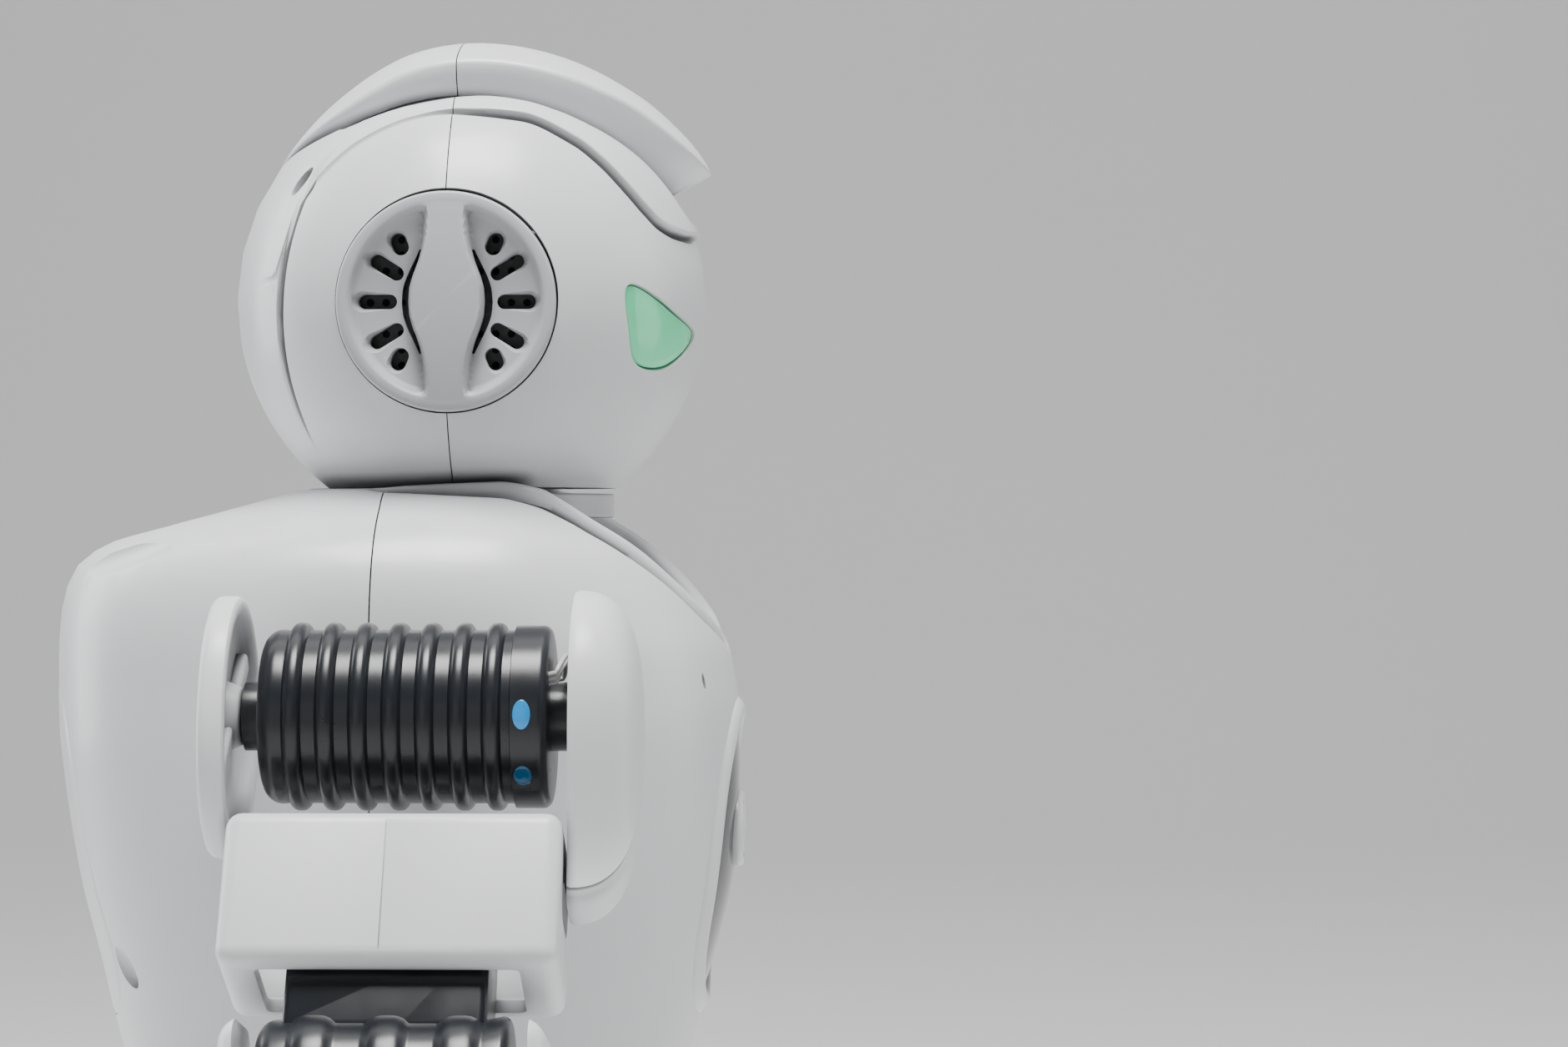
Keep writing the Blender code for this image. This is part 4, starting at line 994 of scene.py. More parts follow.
def scoop(centre, along, normal, half, segs=40):
    """Leaf shaped scoop: a lens drawn out along a direction, for cutting."""
    a = Vector(along).normalized()
    n = Vector(normal).normalized()
    b = n.cross(a).normalized()
    n = a.cross(b).normalized()
    la, lb, ln = half
    bm = B()
    rows = []
    for i in range(segs + 1):
        u = cos(pi * i / segs)
        w = sqrt(max(0.0, 1 - u * u)) ** 1.35
        if i in (0, segs):
            rows.append([bm.verts.new(Vector(centre) + a * la * u)])
            continue
        rows.append([bm.verts.new(Vector(centre) + a * la * u + b * lb * w * cos(t) + n * ln * w * sin(t))
                     for t in [2 * pi * k / 32 for k in range(32)]])
    for p, q in zip(rows, rows[1:]):
        for j in range(32):
            k = (j + 1) % 32
            if len(p) == 1:
                bm.faces.new((p[0], q[j], q[k]))
            elif len(q) == 1:
                bm.faces.new((p[j], q[0], p[k]))
            else:
                bm.faces.new((p[j], q[j], q[k], p[k]))
    return bm


tf = obj("torso_front", torso_shell(radians(-112), radians(112), 113), WHITE, 30)
tb = obj("torso_back", torso_shell(radians(68), radians(292), 105), WHITE, 30)
cut(tf, block(B(), (-150, -90, 60), (TORSO_SEAM + 0.14, 90, 260)), sharp=30)
cut(tb, block(B(), (TORSO_SEAM - 0.14, -90, 60), (150, 90, 260)), sharp=30)
cut(tf, patch(CHEST_Z, CHEST_HZ, CHEST_HY, True, 8.0, 20.0, 0.2, rings=6), sharp=30)
cut(tb, patch(BACK_Z, BACK_HZ, BACK_HY, False, 8.0, 20.0, 0.2, rings=6, power=4.5), sharp=30)
for s in (-1, 1):
    cut(tf, turned(B(), [(s * 44, 0), (s * 44, 9.0), (s * 62, 9.0), (s * 62, 0)], "Y", (SH_X, 0, SH_Z), 64), sharp=30)
    # leaf shaped scoops on the back of the shoulder and low on the back
    cut(tb, scoop((HX - 61.0, s * 34.4, HZ - 48.3), (23.3, s * 13.5, 6.8), (-0.5, s * 0.5, 0.7), (14.6, 4.4, 1.9)), sharp=30)
    cut(tb, scoop((HX - 62.0, s * 29.2, HZ - 125.0), (6.0, s * 2.0, -7.0), (-0.75, s * 0.66, -0.2), (5.6, 2.6, 1.6)), sharp=30)
    # small slot in the chest
    pz = -71.6
    yy = s * 26.0
    cut(tf, scoop((torso_x(yy, pz, True) + 0.1, yy, HZ + pz), (0.0, s * 0.12, 1), (0.9, s * 0.4, 0), (1.7, 0.55, 0.9), 16), sharp=30)
put(tf, "torso", ["torso_shell_front"])
put(tb, "torso", ["torso_shell_back"])


def bead(zc, hz, hy, power, width, height, n=144, m=12, sink=0.7):
    """Raised rim round a rounded outline on the chest."""
    rings = []
    for j in range(n):
        t = 2 * pi * j / n
        c, q = cos(t), sin(t)
        row = []
        for k in range(m + 1):
            g = width * (k / m)
            y = (hy + g) * abs(c) ** (2 / power) * (1 if c >= 0 else -1)
            z = (hz + g) * abs(q) ** (2 / power) * (1 if q >= 0 else -1)
            f = k / m
            up = height * (sin(pi * f ** 0.75) ** 0.8 if 0 < f < 1 else 0.0) - (0.15 if f == 1 else 0.0)
            row.append(Vector((torso_x(y, zc + z - HZ, True) + up - (0.05 if k == 0 else 0), y, zc + z)))
        back = []
        for k in (m, m // 2, 0):
            p = row[k].copy()
            p.x = torso_x(p.y, p.z - HZ, True) - sink
            back.append(p)
        rings.append(row + back)
    return loop_loft(B(), rings)


put(obj("chest_rim", bead(CHEST_Z, CHEST_HZ + 0.15, CHEST_HY + 0.15, 2.8, 4.2, 1.15), WHITE, 60), "torso", ["torso_shell_front"])
cp = obj("chest_glass", patch(CHEST_Z, CHEST_HZ, CHEST_HY, True, -0.35, 2.4, dome=1.3, roll=0.5), GLOSS, 30)
BX = torso_x(0, BUTTON_Z - HZ, True)
cut(cp, turned(B(), [(BX - 12, 0), (BX - 12, 7.6), (BX + 12, 7.6), (BX + 12, 0)], "X", (0, 0, BUTTON_Z), 72), sharp=30)
put(cp, "torso", ["chest_panel"])
put(obj("chest_button_ring", turned(B(), round_profile([(BX - 4.5, 7.4), (BX + 1.4, 7.4), (BX + 2.2, 6.8), (BX + 2.2, 6.1),
                                                       (BX + 0.9, 5.6), (BX - 4.5, 5.6)], 0.5, closed=True), "X", (0, 0, BUTTON_Z), 96),
        WHITE, 40), "torso", ["chest_ring"])
bm = turned(B(), round_profile([(BX - 4.2, 0), (BX - 4.2, 5.2), (BX + 1.6, 5.2), (BX + 2.25, 4.5), (BX + 2.35, 3.6),
                                (BX + 1.9, 3.2), (BX + 1.9, 2.9), (BX + 2.4, 2.5), (BX + 2.55, 1.2), (BX + 2.6, 0)], 0.3),
            "X", (0, 0, BUTTON_Z), 80)
put(obj("chest_push", bm, WHITE, 35), "chest_button", ["chest_button"])

bp = obj("back_cover", patch(BACK_Z, BACK_HZ, BACK_HY, False, 0.1, 2.4, power=4.5, segs=160, roll=0.35), WHITE, 30)
for k in range(6):
    z = BACK_Z + 17 - 4.2 * k
    hwk = 15.0 - 0.5 * k
    loop = capsule((-hwk, z), (hwk, z), 1.7)
    xs = torso_x(0, z - HZ, False)
    bm = ring_loft(B(), [[(xs - 3.0, a, b) for a, b in capsule((-hwk, z), (hwk, z), 2.2)],
                         [(xs + 1.0, a, b) for a, b in loop], [(xs + 8.0, a, b) for a, b in loop]])
    cut(bp, bm, sharp=30)
cut(bp, scoop((torso_x(0, BACK_Z - 25 - HZ, False) - 0.6, 0, BACK_Z - 26), (0, 1, 0), (-1, 0, 0), (7.5, 3.2, 1.9), 24), sharp=30)
put(bp, "torso", ["back_panel"])


def collar():
    n = 220
    rings = []
    for k in range(n):
        phi = 2 * pi * k / n
        deg = abs(degrees((phi + pi) % (2 * pi) - pi))
        w = interp(deg, LIPW)[0] / 2.9
        p = torso_point(phi, neck_v(phi))
        e = Vector((HX, 0, p.z)) - p
        e.normalize()
        z = Vector((0, 0, 1))
        # rounded lip that overhangs the groove at the front and closes flat behind
        out0 = 1.9 - 1.5 * w
        top = 0.35 + 1.45 * w
        sec = [(out0, -1.8), (out0 - 0.05, -0.6), (out0 + 0.1, 0.2 * top), (out0 + 0.5, 0.72 * top), (out0 + 1.1, 0.97 * top),
               (2.6, 1.0 * top), (3.3, 0.93 * top), (4.0, 0.66 * top), (4.5, 0.1), (4.85, -0.8), (4.9, -1.6), (3.9, -3.4), (2.6, -3.0)]
        rings.append([p + e * a + z * b for a, b in sec])
    return loop_loft(B(), rings)


put(obj("collar_lip", collar(), WHITE, 50), "torso", ["collar_ring"])

# ---------------------------------------------------------------- arms


def arm_frame(s, out, pivot):
    d = Vector((0, s * sin(out), -cos(out)))
    t = Vector((0, s * cos(out), sin(out)))
    p = Vector(pivot)
    return Matrix(((1, t.x, d.x, p.x), (0, t.y, d.y, p.y), (0, t.z, d.z, p.z), (0, 0, 0, 1)))


def drum_profile(half, r, ribs, hub_r, hub_to, rib_h, plain=0.0, mirror=False):
    """Ribbed servo drum: rounded hoops with flat valleys between; one end may stay plain."""
    prof = [(-hub_to, 0), (-hub_to, hub_r), (-half, hub_r), (-half, r - 4.2)]
    for k in range(1, 7):
        a = pi / 2 * k / 6
        prof.append((-half + 3.0 - 3.0 * cos(a), r - 1.2 - 3.0 + 3.0 * sin(a)))
    a0, a1 = -half + 3.4, half - 2.2 - plain
    pitch = (a1 - a0) / ribs
    for k in range(ribs):
        a = a0 + pitch * k
        hw = 0.30 * pitch
        c = a + 0.5 * pitch
        prof.append((c - hw - 0.5, r - rib_h))
        for q in range(0, 9):
            u = -1 + 2 * q / 8
            prof.append((c + hw * u, r - rib_h + rib_h * (1 - abs(u) ** 3.2)))
        prof.append((c + hw + 0.5, r - rib_h))
    if plain:
        prof += [(a1 + 0.3, r - rib_h), (a1 + 0.5, r - 0.5), (half - 1.6, r - 0.5)]
    for k in range(0, 6):
        a = pi / 2 * k / 5
        prof.append((half - 1.4 + 1.4 * sin(a), r - 0.5 - 1.4 + 1.4 * cos(a)))
    prof += [(half, hub_r), (hub_to, hub_r), (hub_to, 0)]
    return prof


def cheek_outline(r, l1, w1, n=40):
    pts = []
    for k in range(n + 1):
        a = pi + pi * k / n
        pts.append((r * cos(a), r * sin(a)))
    for k in range(1, 16):
        t = k / 16
        pts.append((r + (w1 - r) * (3 * t**2 - 2 * t**3), l1 * t))
    for k in range(0, 8):
        a = pi / 2 * k / 7
        pts.append((w1 - 3 + 3 * cos(a), l1 - 3 + 3 * sin(a)))
    for k in range(0, 8):
        a = pi / 2 + pi / 2 * k / 7
        pts.append((-w1 + 3 + 3 * cos(a), l1 - 3 + 3 * sin(a)))
    for k in range(15, 0, -1):
        t = k / 16
        pts.append((-(r + (w1 - r) * (3 * t**2 - 2 * t**3)), l1 * t))
    return pts


def tube(pts, r, segs=12):
    """Round tube through the points, closed at its ends."""
    ps = [Vector(p) for p in pts]
    rings = []
    up = Vector((0.2, 0.3, 1)).normalized()
    for i, p in enumerate(ps):
        d = (ps[min(i + 1, len(ps) - 1)] - ps[max(i - 1, 0)]).normalized()
        a = up - d * up.dot(d)
        a.normalize()
        b = d.cross(a)
        up = a
        rings.append([p + (a * cos(t) + b * sin(t)) * r for t in [2 * pi * k / segs for k in range(segs)]])
    return ring_loft(B(), rings)


def screw(c, axis, r, h=0.5):
    """Pan head screw with a cross recess; axis is a unit vector out of the face."""
    n = Vector(axis).normalized()
    q = Vector((0, 0, 1)).rotation_difference(n).to_matrix().to_4x4()
    q.translation = Vector(c)
    o = obj("screw", place(turned(B(), round_profile([(-0.6, 0), (-0.6, r), (h * 0.5, r), (h, r * 0.6), (h + 0.02, 0)], 0.2), "Z",
                                  (0, 0, 0), 28), q), STEEL, 35)
    for a, b in ((0.62, 0.16), (0.16, 0.62)):
        cut(o, place(block(B(), (-r * a, -r * b, h * 0.35), (r * a, r * b, h + 1)), q), sharp=35)
    return o


for side, s in SIDES:
    piv = (SH_X, s * SH_Y, SH_Z)
    m = arm_frame(s, ARM_OUT, piv)
    sh, ua, fo = "shoulder_" + side, "upper_arm_" + side, "forearm_" + side
    # ribbed drum with a plain end band that carries the lamps
    dr = obj("drum_" + side, turned(B(), drum_profile(25.0, 16.4, 7, 6.0, 28.6, 1.3, plain=4.4), "X", piv, 144), BLACK, 40)
    cut(dr, turned(B(), round_profile([(s * 50.6, 0), (s * 50.6, 7.5), (s * 66.0, 7.5), (s * 66.0, 0)], 0.6), "Y",
                   (SH_X, 0, SH_Z), 64), "UNION", sharp=40)
    put(dr, sh, ["shoulder_drum_" + side])
    for nm, al, hl, mat in (("lamp", 4.0, 2.6, LED_M), ("lamp_low", -37.0, 2.2, LED_D)):
        al = radians(al)
        bm = B()
        rings = []
        for k in range(9):
            f = cos(pi / 2 * k / 8)
            hgt = 0.32 * sin(pi / 2 * k / 8)
            ring = []
            for q in range(32):
                t = 2 * pi * q / 32
                x = SH_X + 20.9 + 1.55 * f * cos(t)
                a = al + hl * f * sin(t) / 15.9
                rr = 15.85 + hgt
                ring.append(Vector((x, s * (SH_Y + rr * cos(a)), SH_Z + rr * sin(a))))
            rings.append(ring)
        put(obj(nm + "_" + side, ring_loft(bm, rings[:-1]), mat, 50), sh, ["shoulder_drum_" + side])
    # leads looped at the drum's front end
    for i, (off, rise) in enumerate(((0.0, 0.0), (0.85, 0.9), (-0.2, 1.8))):
        pts = []
        for k in range(41):
            a = pi * k / 40
            pts.append((piv[0] + 26.3 + 1.2 * sin(a) + off * sin(a) * 0.5, piv[1] - s * (8.6 - 0.5 * i) * cos(a),
                        piv[2] + 8.0 + 2.7 * sin(a) - rise * 0.9 * (1 - 0.35 * sin(a))))
        pts = [(SH_X + 22.8, pts[0][1], pts[0][2] - 0.8)] + pts + [(SH_X + 22.8, pts[-1][1], pts[-1][2] - 0.8)]
        put(obj("lead_%d_%s" % (i, side), tube(pts, 0.42), LEAD, 60), sh, ["servo_lead_" + side])
    # housing
    hs = obj("arm_web_" + side, place(block(B(), (-28.6, -13, 24.0), (28.6, 13, 52.0), 2.9, 6), m), WHITE2, 32)
    cut(hs, place(block(B(), (-26.0, -10.7, 18.0), (26.0, 10.7, 49.6), 1.2, 3), m), sharp=32)
    cut(hs, place(block(B(), (-22.2, -9.0, 44.0), (22.2, 9.0, 56.0), 1.2, 3), m), sharp=32)
    cut(hs, place(block(B(), (-1.16, 12.82, 20.0), (-0.94, 14.0, 56.0)), m), sharp=32)
    cut(hs, place(block(B(), (-1.16, -14.0, 20.0), (-0.94, -12.82, 56.0)), m), sharp=32)
    for q in (-1, 1):
        # side openings with softened corners
        loop = [(a, b) for a, b in capsule((-3.0, 37.0), (3.0, 37.0), 7.0)]
        bm = ring_loft(B(), [[(q * 24.0, a, b) for a, b in loop], [(q * 32.0, a, b) for a, b in loop]])
        cut(hs, place(bm, m), sharp=32)
    put(soften(hs, 0.35, 2, 50, 32), ua, ["upper_arm_housing_" + side])
    # rear cheek with its raised rim, recess and crossing rib
    out = [(21.0 * cos(pi * k / 60), (25.5 if k < 60 else 21.0) * sin(pi * k / 60)) for k in range(120)]

    def ins(pts, g, cz=2.0):
        r = []
        for a, b in pts:
            d = sqrt(a * a + (b - cz) ** 2)
            f = (d - g) / d
            r.append((a * f, cz + (b - cz) * f))
        return r
    prof = [(-33.4, 5.5), (-34.0, 4.2), (-34.0, 1.6), (-33.7, 0.6), (-33.1, 0.12), (-32.3, 0.0), (-30.4, 0.0), (-29.6, 0.25),
            (-29.25, 0.8), (-29.2, 1.6), (-29.25, 2.4), (-29.6, 3.0), (-30.4, 3.4), (-31.6, 3.8), (-32.1, 4.6), (-32.2, 6.0)]
    ck = obj("cheek_rear_" + side, place(ring_loft(B(), [[(x, a, b) for a, b in ins(out, g)] for x, g in prof]), m), WHITE2, 40)
    rib = place(block(B(), (-32.6, -2.0, -16.0), (-30.2, 2.0, 22.0), 0.9, 4),
                m @ Matrix.Rotation(radians(24 * s), 4, "X"))
    cut(ck, rib, "UNION", sharp=40)
    cut(ck, place(turned(B(), round_profile([(-32.6, 0), (-32.6, 6.4), (-29.0, 5.0), (-29.0, 0)], 0.6), "X", (0, 0, 0), 64), m),
        "UNION", sharp=40)
    put(ck, ua, ["arm_cheek_rear_" + side])
    put(screw(m @ Vector((-33.4, 0, 0)), (-1, 0, 0), 2.0, 0.25), ua, ["arm_cheek_rear_" + side])
    # front cheek: domed leaf
    out = cheek_outline(22.0, 38.0, 6.0)
    rings = [[(29.35, a * 0.96, b * 0.97) for a, b in out], [(29.2, a * 0.985, b * 0.99) for a, b in out]]
    for k in range(0, 19):
        t = k / 18
        x = 29.8 + 11.1 * sin(pi / 2 * t) ** 0.86
        f = max(0.02, cos(pi / 2 * t * 0.985)) ** 0.55
        rings.append([(x, a * f, (b - 7) * f + 7) for a, b in out])
    put(obj("cheek_front_" + side, place(ring_loft(B(), rings), m), WHITE2, 50), ua, ["arm_cheek_front_" + side])
    # elbow servo
    es = obj("elbow_" + side, place(turned(B(), drum_profile(21.0, 13.0, 3, 5.0, 24.0, 1.1), "X", (0, 0, ELBOW_L), 112), m), BLACK, 40)
    cut(es, place(block(B(), (-17, -8, 44.0), (17, 8, 62.0), 1.2, 3), m), "UNION", sharp=40)
    put(es, ua, ["elbow_servo_" + side])
    # forearm
    eb = m @ Vector((0, 0, ELBOW_L))
    f = arm_frame(s, FORE_OUT, eb)
    fa = obj("fore_" + side, place(block(B(), (-27.2, -11, -11.5), (27.2, 11, 33.0), 4.6, 7), f), WHITE2, 32)
    cut(fa, place(block(B(), (-24.4, -30, -30), (24.4, 30, 14.6), 2.2, 5), f), sharp=32)
    rings = []
    tbl = [(26.0, 22.6, 9.4), (30.0, 21.6, 9.9), (36.0, 20.0, 10.4), (42.0, 18.4, 10.35), (47.0, 17.2, 9.9), (50.5, 16.6, 9.3), (51.6, 16.2, 8.9), (52.0, 15.6, 8.4)]
    for k in range(40):
        l = 26.0 + 26.0 * k / 39
        hx_, ht = interp(l, tbl)
        rings.append([(hx_ * abs(cos(a)) ** 0.7 * (1 if cos(a) >= 0 else -1),
                       ht * abs(sin(a)) ** 0.7 * (1 if sin(a) >= 0 else -1), l)
                      for a in [2 * pi * q / 96 for q in range(96)]])
    cut(fa, place(ring_loft(B(), rings), f), "UNION", sharp=32)
    cut(fa, place(block(B(), (-13.7, -5.3, 44.0), (13.7, 5.3, 60.0), 1.0, 3), f), sharp=32)
    for q in (-1, 1):
        loop = capsule((q * 0.0 - 5.0, 24.0), (5.0, 24.0), 6.0)
        bm = ring_loft(B(), [[(a, q * 10.2, b) for a, b in loop], [(a, q * 13.0, b) for a, b in [(x * 1.25, 24 + (z - 24) * 1.35) for x, z in loop]]])
        cut(fa, place(bm, f), sharp=32)
        # round boss faces over the elbow axis
        cut(fa, place(turned(B(), [(q * 26.75, 0), (q * 26.75, 6.2), (q * 29.0, 6.8), (q * 29.0, 0)], "X", (0, 0, 0), 56), f), sharp=32)
    put(soften(fa, 0.3, 2, 50, 32), fo, ["forearm_shell_" + side])
    for q in (-1, 1):
        put(screw(f @ Vector((q * 26.8, 0, 0)), (q, 0, 0), 2.2, 0.3), fo, ["forearm_shell_" + side])
    for fn, q in (("a", -1.0), ("b", 1.0)):
        px, pl = q * 8.6, 49.0
        ctrl = [(-3.2, -3.2), (-3.4, 2.0), (-2.6, 9.0), (-0.6, 20.0), (0.8, 27.0), (2.6, 28.6),
                (4.4, 27.6), (4.4, 24.0), (4.2, 12.0), (4.0, 2.0), (3.2, -3.2)]
        pts = [(px + (a if q < 0 else -a), pl + b) for a, b in round_profile([(a, b + 50) for a, b in ctrl], 1.4, 5, True)]
        pts = [(a, b - 50) for a, b in pts]
        o = obj("grip_%s_%s" % (fn, side), place(ring_loft(B(), [[(a, -4.8, b) for a, b in pts], [(a, 4.8, b) for a, b in pts]]), f),
                BLACK, 30)
        o = soften(o, 0.6, 3, 50, 32)
        for k in range(5):
            l = pl + 14.5 + 2.3 * k
            xf = px + (4.25 if q < 0 else -4.25)
            cut(o, place(block(B(), (xf - 0.45, -6, l), (xf + 0.45, 6, l + 0.9)), f), sharp=30)
        put(o, "finger_%s_%s" % (fn, side), ["finger_%s_%s" % (fn, side)])

# ---------------------------------------------------------------- base
BASE = [(24.0, 50.0, 48.0, 3.2), (32.0, 54.8, 52.0, 3.2), (54.0, 56.0, 53.5, 3.2),
        (70.0, 52.5, 50.0, 2.8), (81.0, 45.5, 43.5, 2.6), (88.0, 34.0, 34.5, 2.2),
        (90.0, 22.0, 24.0, 2.0)]


def base_ring(z, off=0.0, seg=192):
    hx_, hy_, n = interp(z, BASE)
    e = 2 / n
    out = []
    for k in range(seg):
        c, q = cos(2 * pi * k / seg), sin(2 * pi * k / seg)
        out.append(Vector(((hx_ + off) * abs(c) ** e * (1 if c >= 0 else -1),
                           (hy_ + off) * abs(q) ** e * (1 if q >= 0 else -1), z)))
    return out


zs = [24.0 + 64.0 * k / 44 for k in range(45)] + [88.0 + 2.0 * sin(pi / 2 * k / 10) for k in range(1, 11)]
zs = sorted(set(zs + [63.6, 63.8, 64.0, 64.2, 64.4, 64.6]))
outer = [base_ring(z, -0.55 if 63.9 < z < 64.3 else (-0.1 if 63.7 < z < 64.5 else (-0.5 if z < 24.2 else 0.0))) for z in zs]
inner = [base_ring(max(24.0, z), -2.4 if z < 85 else -1.4) for z in zs]
inner = [[Vector((p.x, p.y, min(p.z, 87.6 - 0.02 * (len(zs) - i)))) for p in r] for i, r in enumerate(inner)]
bs = obj("base_body", grid_solid(B(), outer, inner, closed_u=True), WHITE, 30)
for s in (-1, 1):
    cut(bs, turned(B(), [(s * 44, 0), (s * 44, 5.9), (s * 60, 5.9), (s * 60, 0)], "Y", (0, 0, 38.0), 64), sharp=30)
cut(bs, turned(B(), [(-70, 0), (-70, 6.0), (-55.4, 5.4), (-48, 5.4), (-48, 0)], "X", (0, 0, 56), 64), sharp=30)
# dark window with a sensor behind it, low on the front
fz = 46.0
loop = capsule((-13.0, fz), (13.0, fz), 9.0, 20)
cut(bs, ring_loft(B(), [[(54.6, a, b) for a, b in loop], [(60.0, a, b) for a, b in loop]]), sharp=30)
put(bs, "torso", ["base_shell"])
loop = capsule((-13.0, fz), (13.0, fz), 8.7, 20)
w1 = ring_loft(B(), [[(53.6, a, b) for a, b in loop], [(55.2, a, b) for a, b in loop],
                     [(55.5, a * 0.985, fz + (b - fz) * 0.95) for a, b in loop], [(55.6, a * 0.7, fz + (b - fz) * 0.6) for a, b in loop]])
put(obj("base_window", w1, GLOSS, 35), "torso", ["base_shell"])
plt = [[(p.x, p.y, z) for p in base_ring(24.0, o)] for z, o in ((20.3, -1.4), (20.45, -0.8), (20.9, -0.3), (21.6, -0.05), (23.4, -0.05))]
bpz = obj("base_under", ring_loft(B(), plt), BLACK, 30)
cut(bpz, turned(B(), round_profile([(14.0, 0), (14.0, 16.0), (15.0, 17.0), (21.5, 17.0), (21.5, 0)], 0.5), "Z", (0, 0, 0), 96), "UNION", sharp=30)
put(bpz, "torso", ["base_plate"])
for i in range(4):
    a = pi / 4 + pi / 2 * i
    put(screw((37 * cos(a), 35 * sin(a), 20.3), (0, 0, -1), 2.0, 0.35), "torso", ["base_plate"])
put(obj("waist", turned(B(), round_profile([(90.35, 17.0), (90.35, 27.0), (92.6, 28.0), (95.6, 27.0), (95.6, 17.0)], 0.7, closed=True),
                        "Z", (0, 0, 0), 128), GLOSS, 40), "torso", ["waist_ring"])

for side, s in SIDES:
    wb = "wheel_" + side
    ym = lambda d: s * (d - 2.5)
    prof = [(ym(66.6), 0), (ym(66.6), 2.8), (ym(58.6), 2.8), (ym(58.6), 7.5), (ym(66.0), 11.0),
            (ym(66.0), 24.0), (ym(60.6), 29.2), (ym(77.4), 29.2), (ym(77.0), 26.4),
            (ym(71.0), 23.6), (ym(70.0), 12.0), (ym(73.5), 8.5), (ym(74.8), 0)]
    hub = obj("hub_" + side, turned(B(), round_profile(prof, 0.9, 5), "Y", (0, 0, 38.0), 128), WHITE2, 30)
    for k in range(5):
        a = 2 * pi * k / 5 + pi / 2
        cx, cz = 17.4 * cos(a), 17.4 * sin(a)
        loop = [(cx + 3.8 * cos(t) * cos(a) - 5.0 * sin(t) * sin(a), 38.0 + cz + 3.8 * cos(t) * sin(a) + 5.0 * sin(t) * cos(a))
                for t in [2 * pi * i / 36 for i in range(36)]]
        big = [(cx + 4.6 * cos(t) * cos(a) - 5.9 * sin(t) * sin(a), 38.0 + cz + 4.6 * cos(t) * sin(a) + 5.9 * sin(t) * cos(a))
               for t in [2 * pi * i / 36 for i in range(36)]]
        bm = ring_loft(B(), [[(p[0], ym(60), p[1]) for p in loop], [(p[0], ym(69.6), p[1]) for p in loop],
                             [(p[0], ym(70.7), p[1]) for p in big], [(p[0], ym(80), p[1]) for p in big]])
        cut(hub, bm, sharp=30)
    put(hub, wb, ["wheel_hub_" + side])
    put(screw((0, ym(74.8), 38.0), (0, s, 0), 2.6, 0.3), wb, ["wheel_hub_" + side])
    for k in range(5):
        a = 2 * pi * (k + 0.5) / 5 + pi / 2
        put(screw((15.5 * cos(a), ym(70.45), 38.0 + 15.5 * sin(a)), (0, s, 0), 1.2, 0.25), wb, ["wheel_hub_" + side])
    # tyre with chevron tread
    w, mid, R = 9.0, 66.5, 38.0
    cols = [-9.0, -8.97, -8.7, -8.0, -7.0, -6.2] + [-6.0 + 12.0 * k / 24 for k in range(25)] + [6.2, 7.0, 8.0, 8.7, 8.97, 9.0]
    n_ang, blocks = 264, 33
    rings = []
    for j in range(n_ang):
        th = 2 * pi * j / n_ang
        ring = [(-w, 29.6)]
        for a in cols:
            if abs(a) >= 8.99:
                rr = 34.6
            elif abs(a) > 6.0:
                t = (abs(a) - 6.0) / 3.0
                rr = R - 3.0 * (1 - sqrt(max(0.0, 1 - t * t))) - 0.05
            else:
                rr = R
            ph = (th / (2 * pi) * blocks + abs(a) * 0.085) % 1.0
            g = 1.0 if 0.30 < ph < 0.55 else 0.0
            if abs(a) > 1.1 and abs(a) < 8.3 and g:
                rr -= 1.1
            elif abs(a) <= 0.9:
                rr -= 0.9
            ring.append((a, rr))
        ring.append((w, 29.6))
        rings.append([Vector((rr * sin(th), s * (mid + a), 38.0 + rr * cos(th))) for a, rr in ring])
    ty = obj("tyre_body_" + side, loop_loft(B(), rings), RUBBER, 25)
    put(ty, wb, ["tyre_" + side])

for side, q in (("front", 1.0), ("rear", -1.0)):
    c = (q * 42.0, 0, 0)
    cav = 9.5
    prof = [(20.1, 0), (20.1, 12.6), (18.2, 12.6), (17.6, 11.9), (16.9, 12.6), (10.0, 12.6), (4.6, 10.6),
            (4.2, sqrt(cav**2 - (9.0 - 4.2)**2) + 0.2)]
    for a in range(-25, 80, 8):
        prof.append((9.0 + cav * sin(radians(a)), cav * cos(radians(a))))
    prof.append((9.0 + cav, 0))
    put(obj("caster_cup_" + side, turned(B(), round_profile(prof, 0.4), "Z", c, 96), BLACK, 35), "torso",
        ["caster_housing_" + side])
    prof = [(0.0, 0)] + [(9.0 - 9.0 * cos(pi * k / 40), 9.0 * sin(pi * k / 40)) for k in range(1, 40)] + [(18.0, 0)]
    put(obj("caster_ball_body_" + side, turned(B(), prof, "Z", c, 72), STEEL, 60), "caster_ball_" + side,
        ["caster_ball_" + side])
pb = obj("power_cap", turned(B(), round_profile([(-49.0, 0), (-49.0, 6.8), (-50.4, 6.8), (-50.4, 5.0), (-57.0, 5.0),
                                                 (-57.6, 4.3), (-57.7, 3.2), (-57.3, 2.6), (-57.3, 0)], 0.4), "X", (0, 0, 56), 72), BLACK, 35)
put(pb, "power_button", ["power_button"])
pr = turned(B(), round_profile([(-57.2, 1.9), (-57.7, 2.1), (-57.7, 2.3), (-57.2, 2.5)], 0.1, closed=True), "X", (0, 0, 56), 48)
put(obj("power_mark", pr, STEEL, 50), "power_button", ["power_button"])

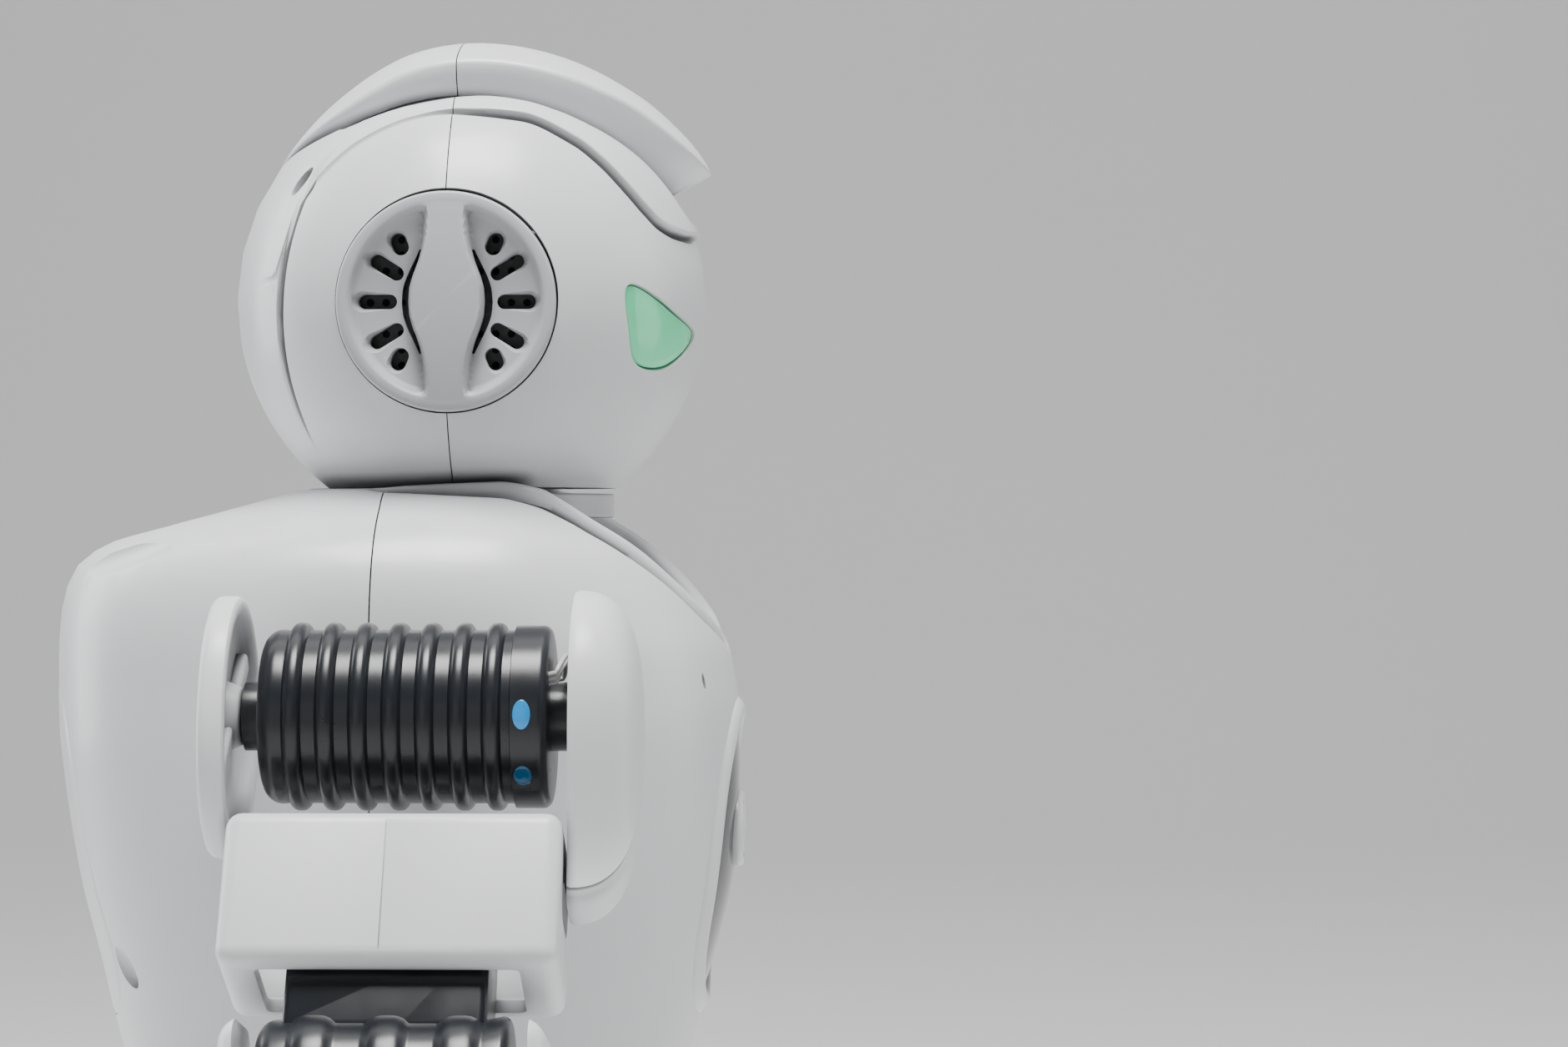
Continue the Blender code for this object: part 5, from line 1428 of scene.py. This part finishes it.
# ---------------------------------------------------------------- inner parts carried over from the CAD
CARRY = {"eye_board": BOARD, "main_board": BOARD, "battery_pack": BATT, "spine_frame": METAL, "neck_yoke": METAL,
         "head_tilt_servo": BLACK, "neck_pan_servo": BLACK, "shoulder_pitch_servo_right": BLACK, "shoulder_pitch_servo_left": BLACK,
         "drive_motor_right": BLACK, "drive_motor_left": BLACK}
for nm, mat in CARRY.items():
    o = frame["nodes"][nm]
    if o.data.materials:
        for i in range(len(o.data.materials)):
            o.data.materials[i] = mat
    else:
        o.data.materials.append(mat)

# ---------------------------------------------------------------- studio
def area(name, at, aim, size, power, color=(1, 1, 1)):
    l = bpy.data.lights.new(name, "AREA")
    l.shape = "RECTANGLE"
    l.size, l.size_y = size
    l.energy = power
    l.color = color
    o = bpy.data.objects.new(name, l)
    bpy.context.scene.collection.objects.link(o)
    o.location = at
    o.rotation_euler = (Vector(aim) - Vector(at)).to_track_quat("-Z", "Y").to_euler()
    return o


area("key", (0.05, -0.28, 1.15), (0.0, 0, 0.22), (0.5, 0.4), 21.0, (1.0, 0.995, 0.985))
area("rim", (-0.80, 0.30, 0.45), (0, 0, 0.2), (0.35, 0.8), 6.0, (0.97, 0.98, 1.0))
area("front", (0.95, 0.15, 0.35), (0, 0, 0.2), (0.4, 0.7), 1.6)
area("fill", (-0.3, -1.4, 0.40), (0, 0, 0.2), (1.0, 0.7), 1.0, (0.98, 0.99, 1.0))
area("backdrop", (0.0, 1.2, 2.6), (0, 2.9, 0.2), (4.0, 2.0), 52.0)
world = bpy.data.worlds.new("studio")
bpy.context.scene.world = world
world.use_nodes = True
world.node_tree.nodes["Background"].inputs["Color"].default_value = (0.80, 0.81, 0.83, 1)
world.node_tree.nodes["Background"].inputs["Strength"].default_value = 0.13

bm = bmesh.new()
prof = [(-8.0, 0.0), (2.0, 0.0)] + [(2.0 + 1.0 * sin(a), 1.0 - 1.0 * cos(a)) for a in
                                    [pi / 2 * k / 12 for k in range(1, 13)]] + [(3.0, 3.2)]
for a, b in zip(prof, prof[1:]):
    bm.faces.new([bm.verts.new(p) for p in ((-9, a[0], a[1]), (9, a[0], a[1]), (9, b[0], b[1]), (-9, b[0], b[1]))])
bmesh.ops.remove_doubles(bm, verts=bm.verts[:], dist=1e-5)
bmesh.ops.recalc_face_normals(bm, faces=bm.faces[:])
me = bpy.data.meshes.new("floor")
bm.to_mesh(me)
bm.free()
floor = bpy.data.objects.new("floor", me)
bpy.context.scene.collection.objects.link(floor)
me.shade_smooth()
fm, nt, b = new_mat("pale_floor")
b.inputs["Base Color"].default_value = (0.78, 0.78, 0.78, 1)
b.inputs["Roughness"].default_value = 0.75
me.materials.append(fm)
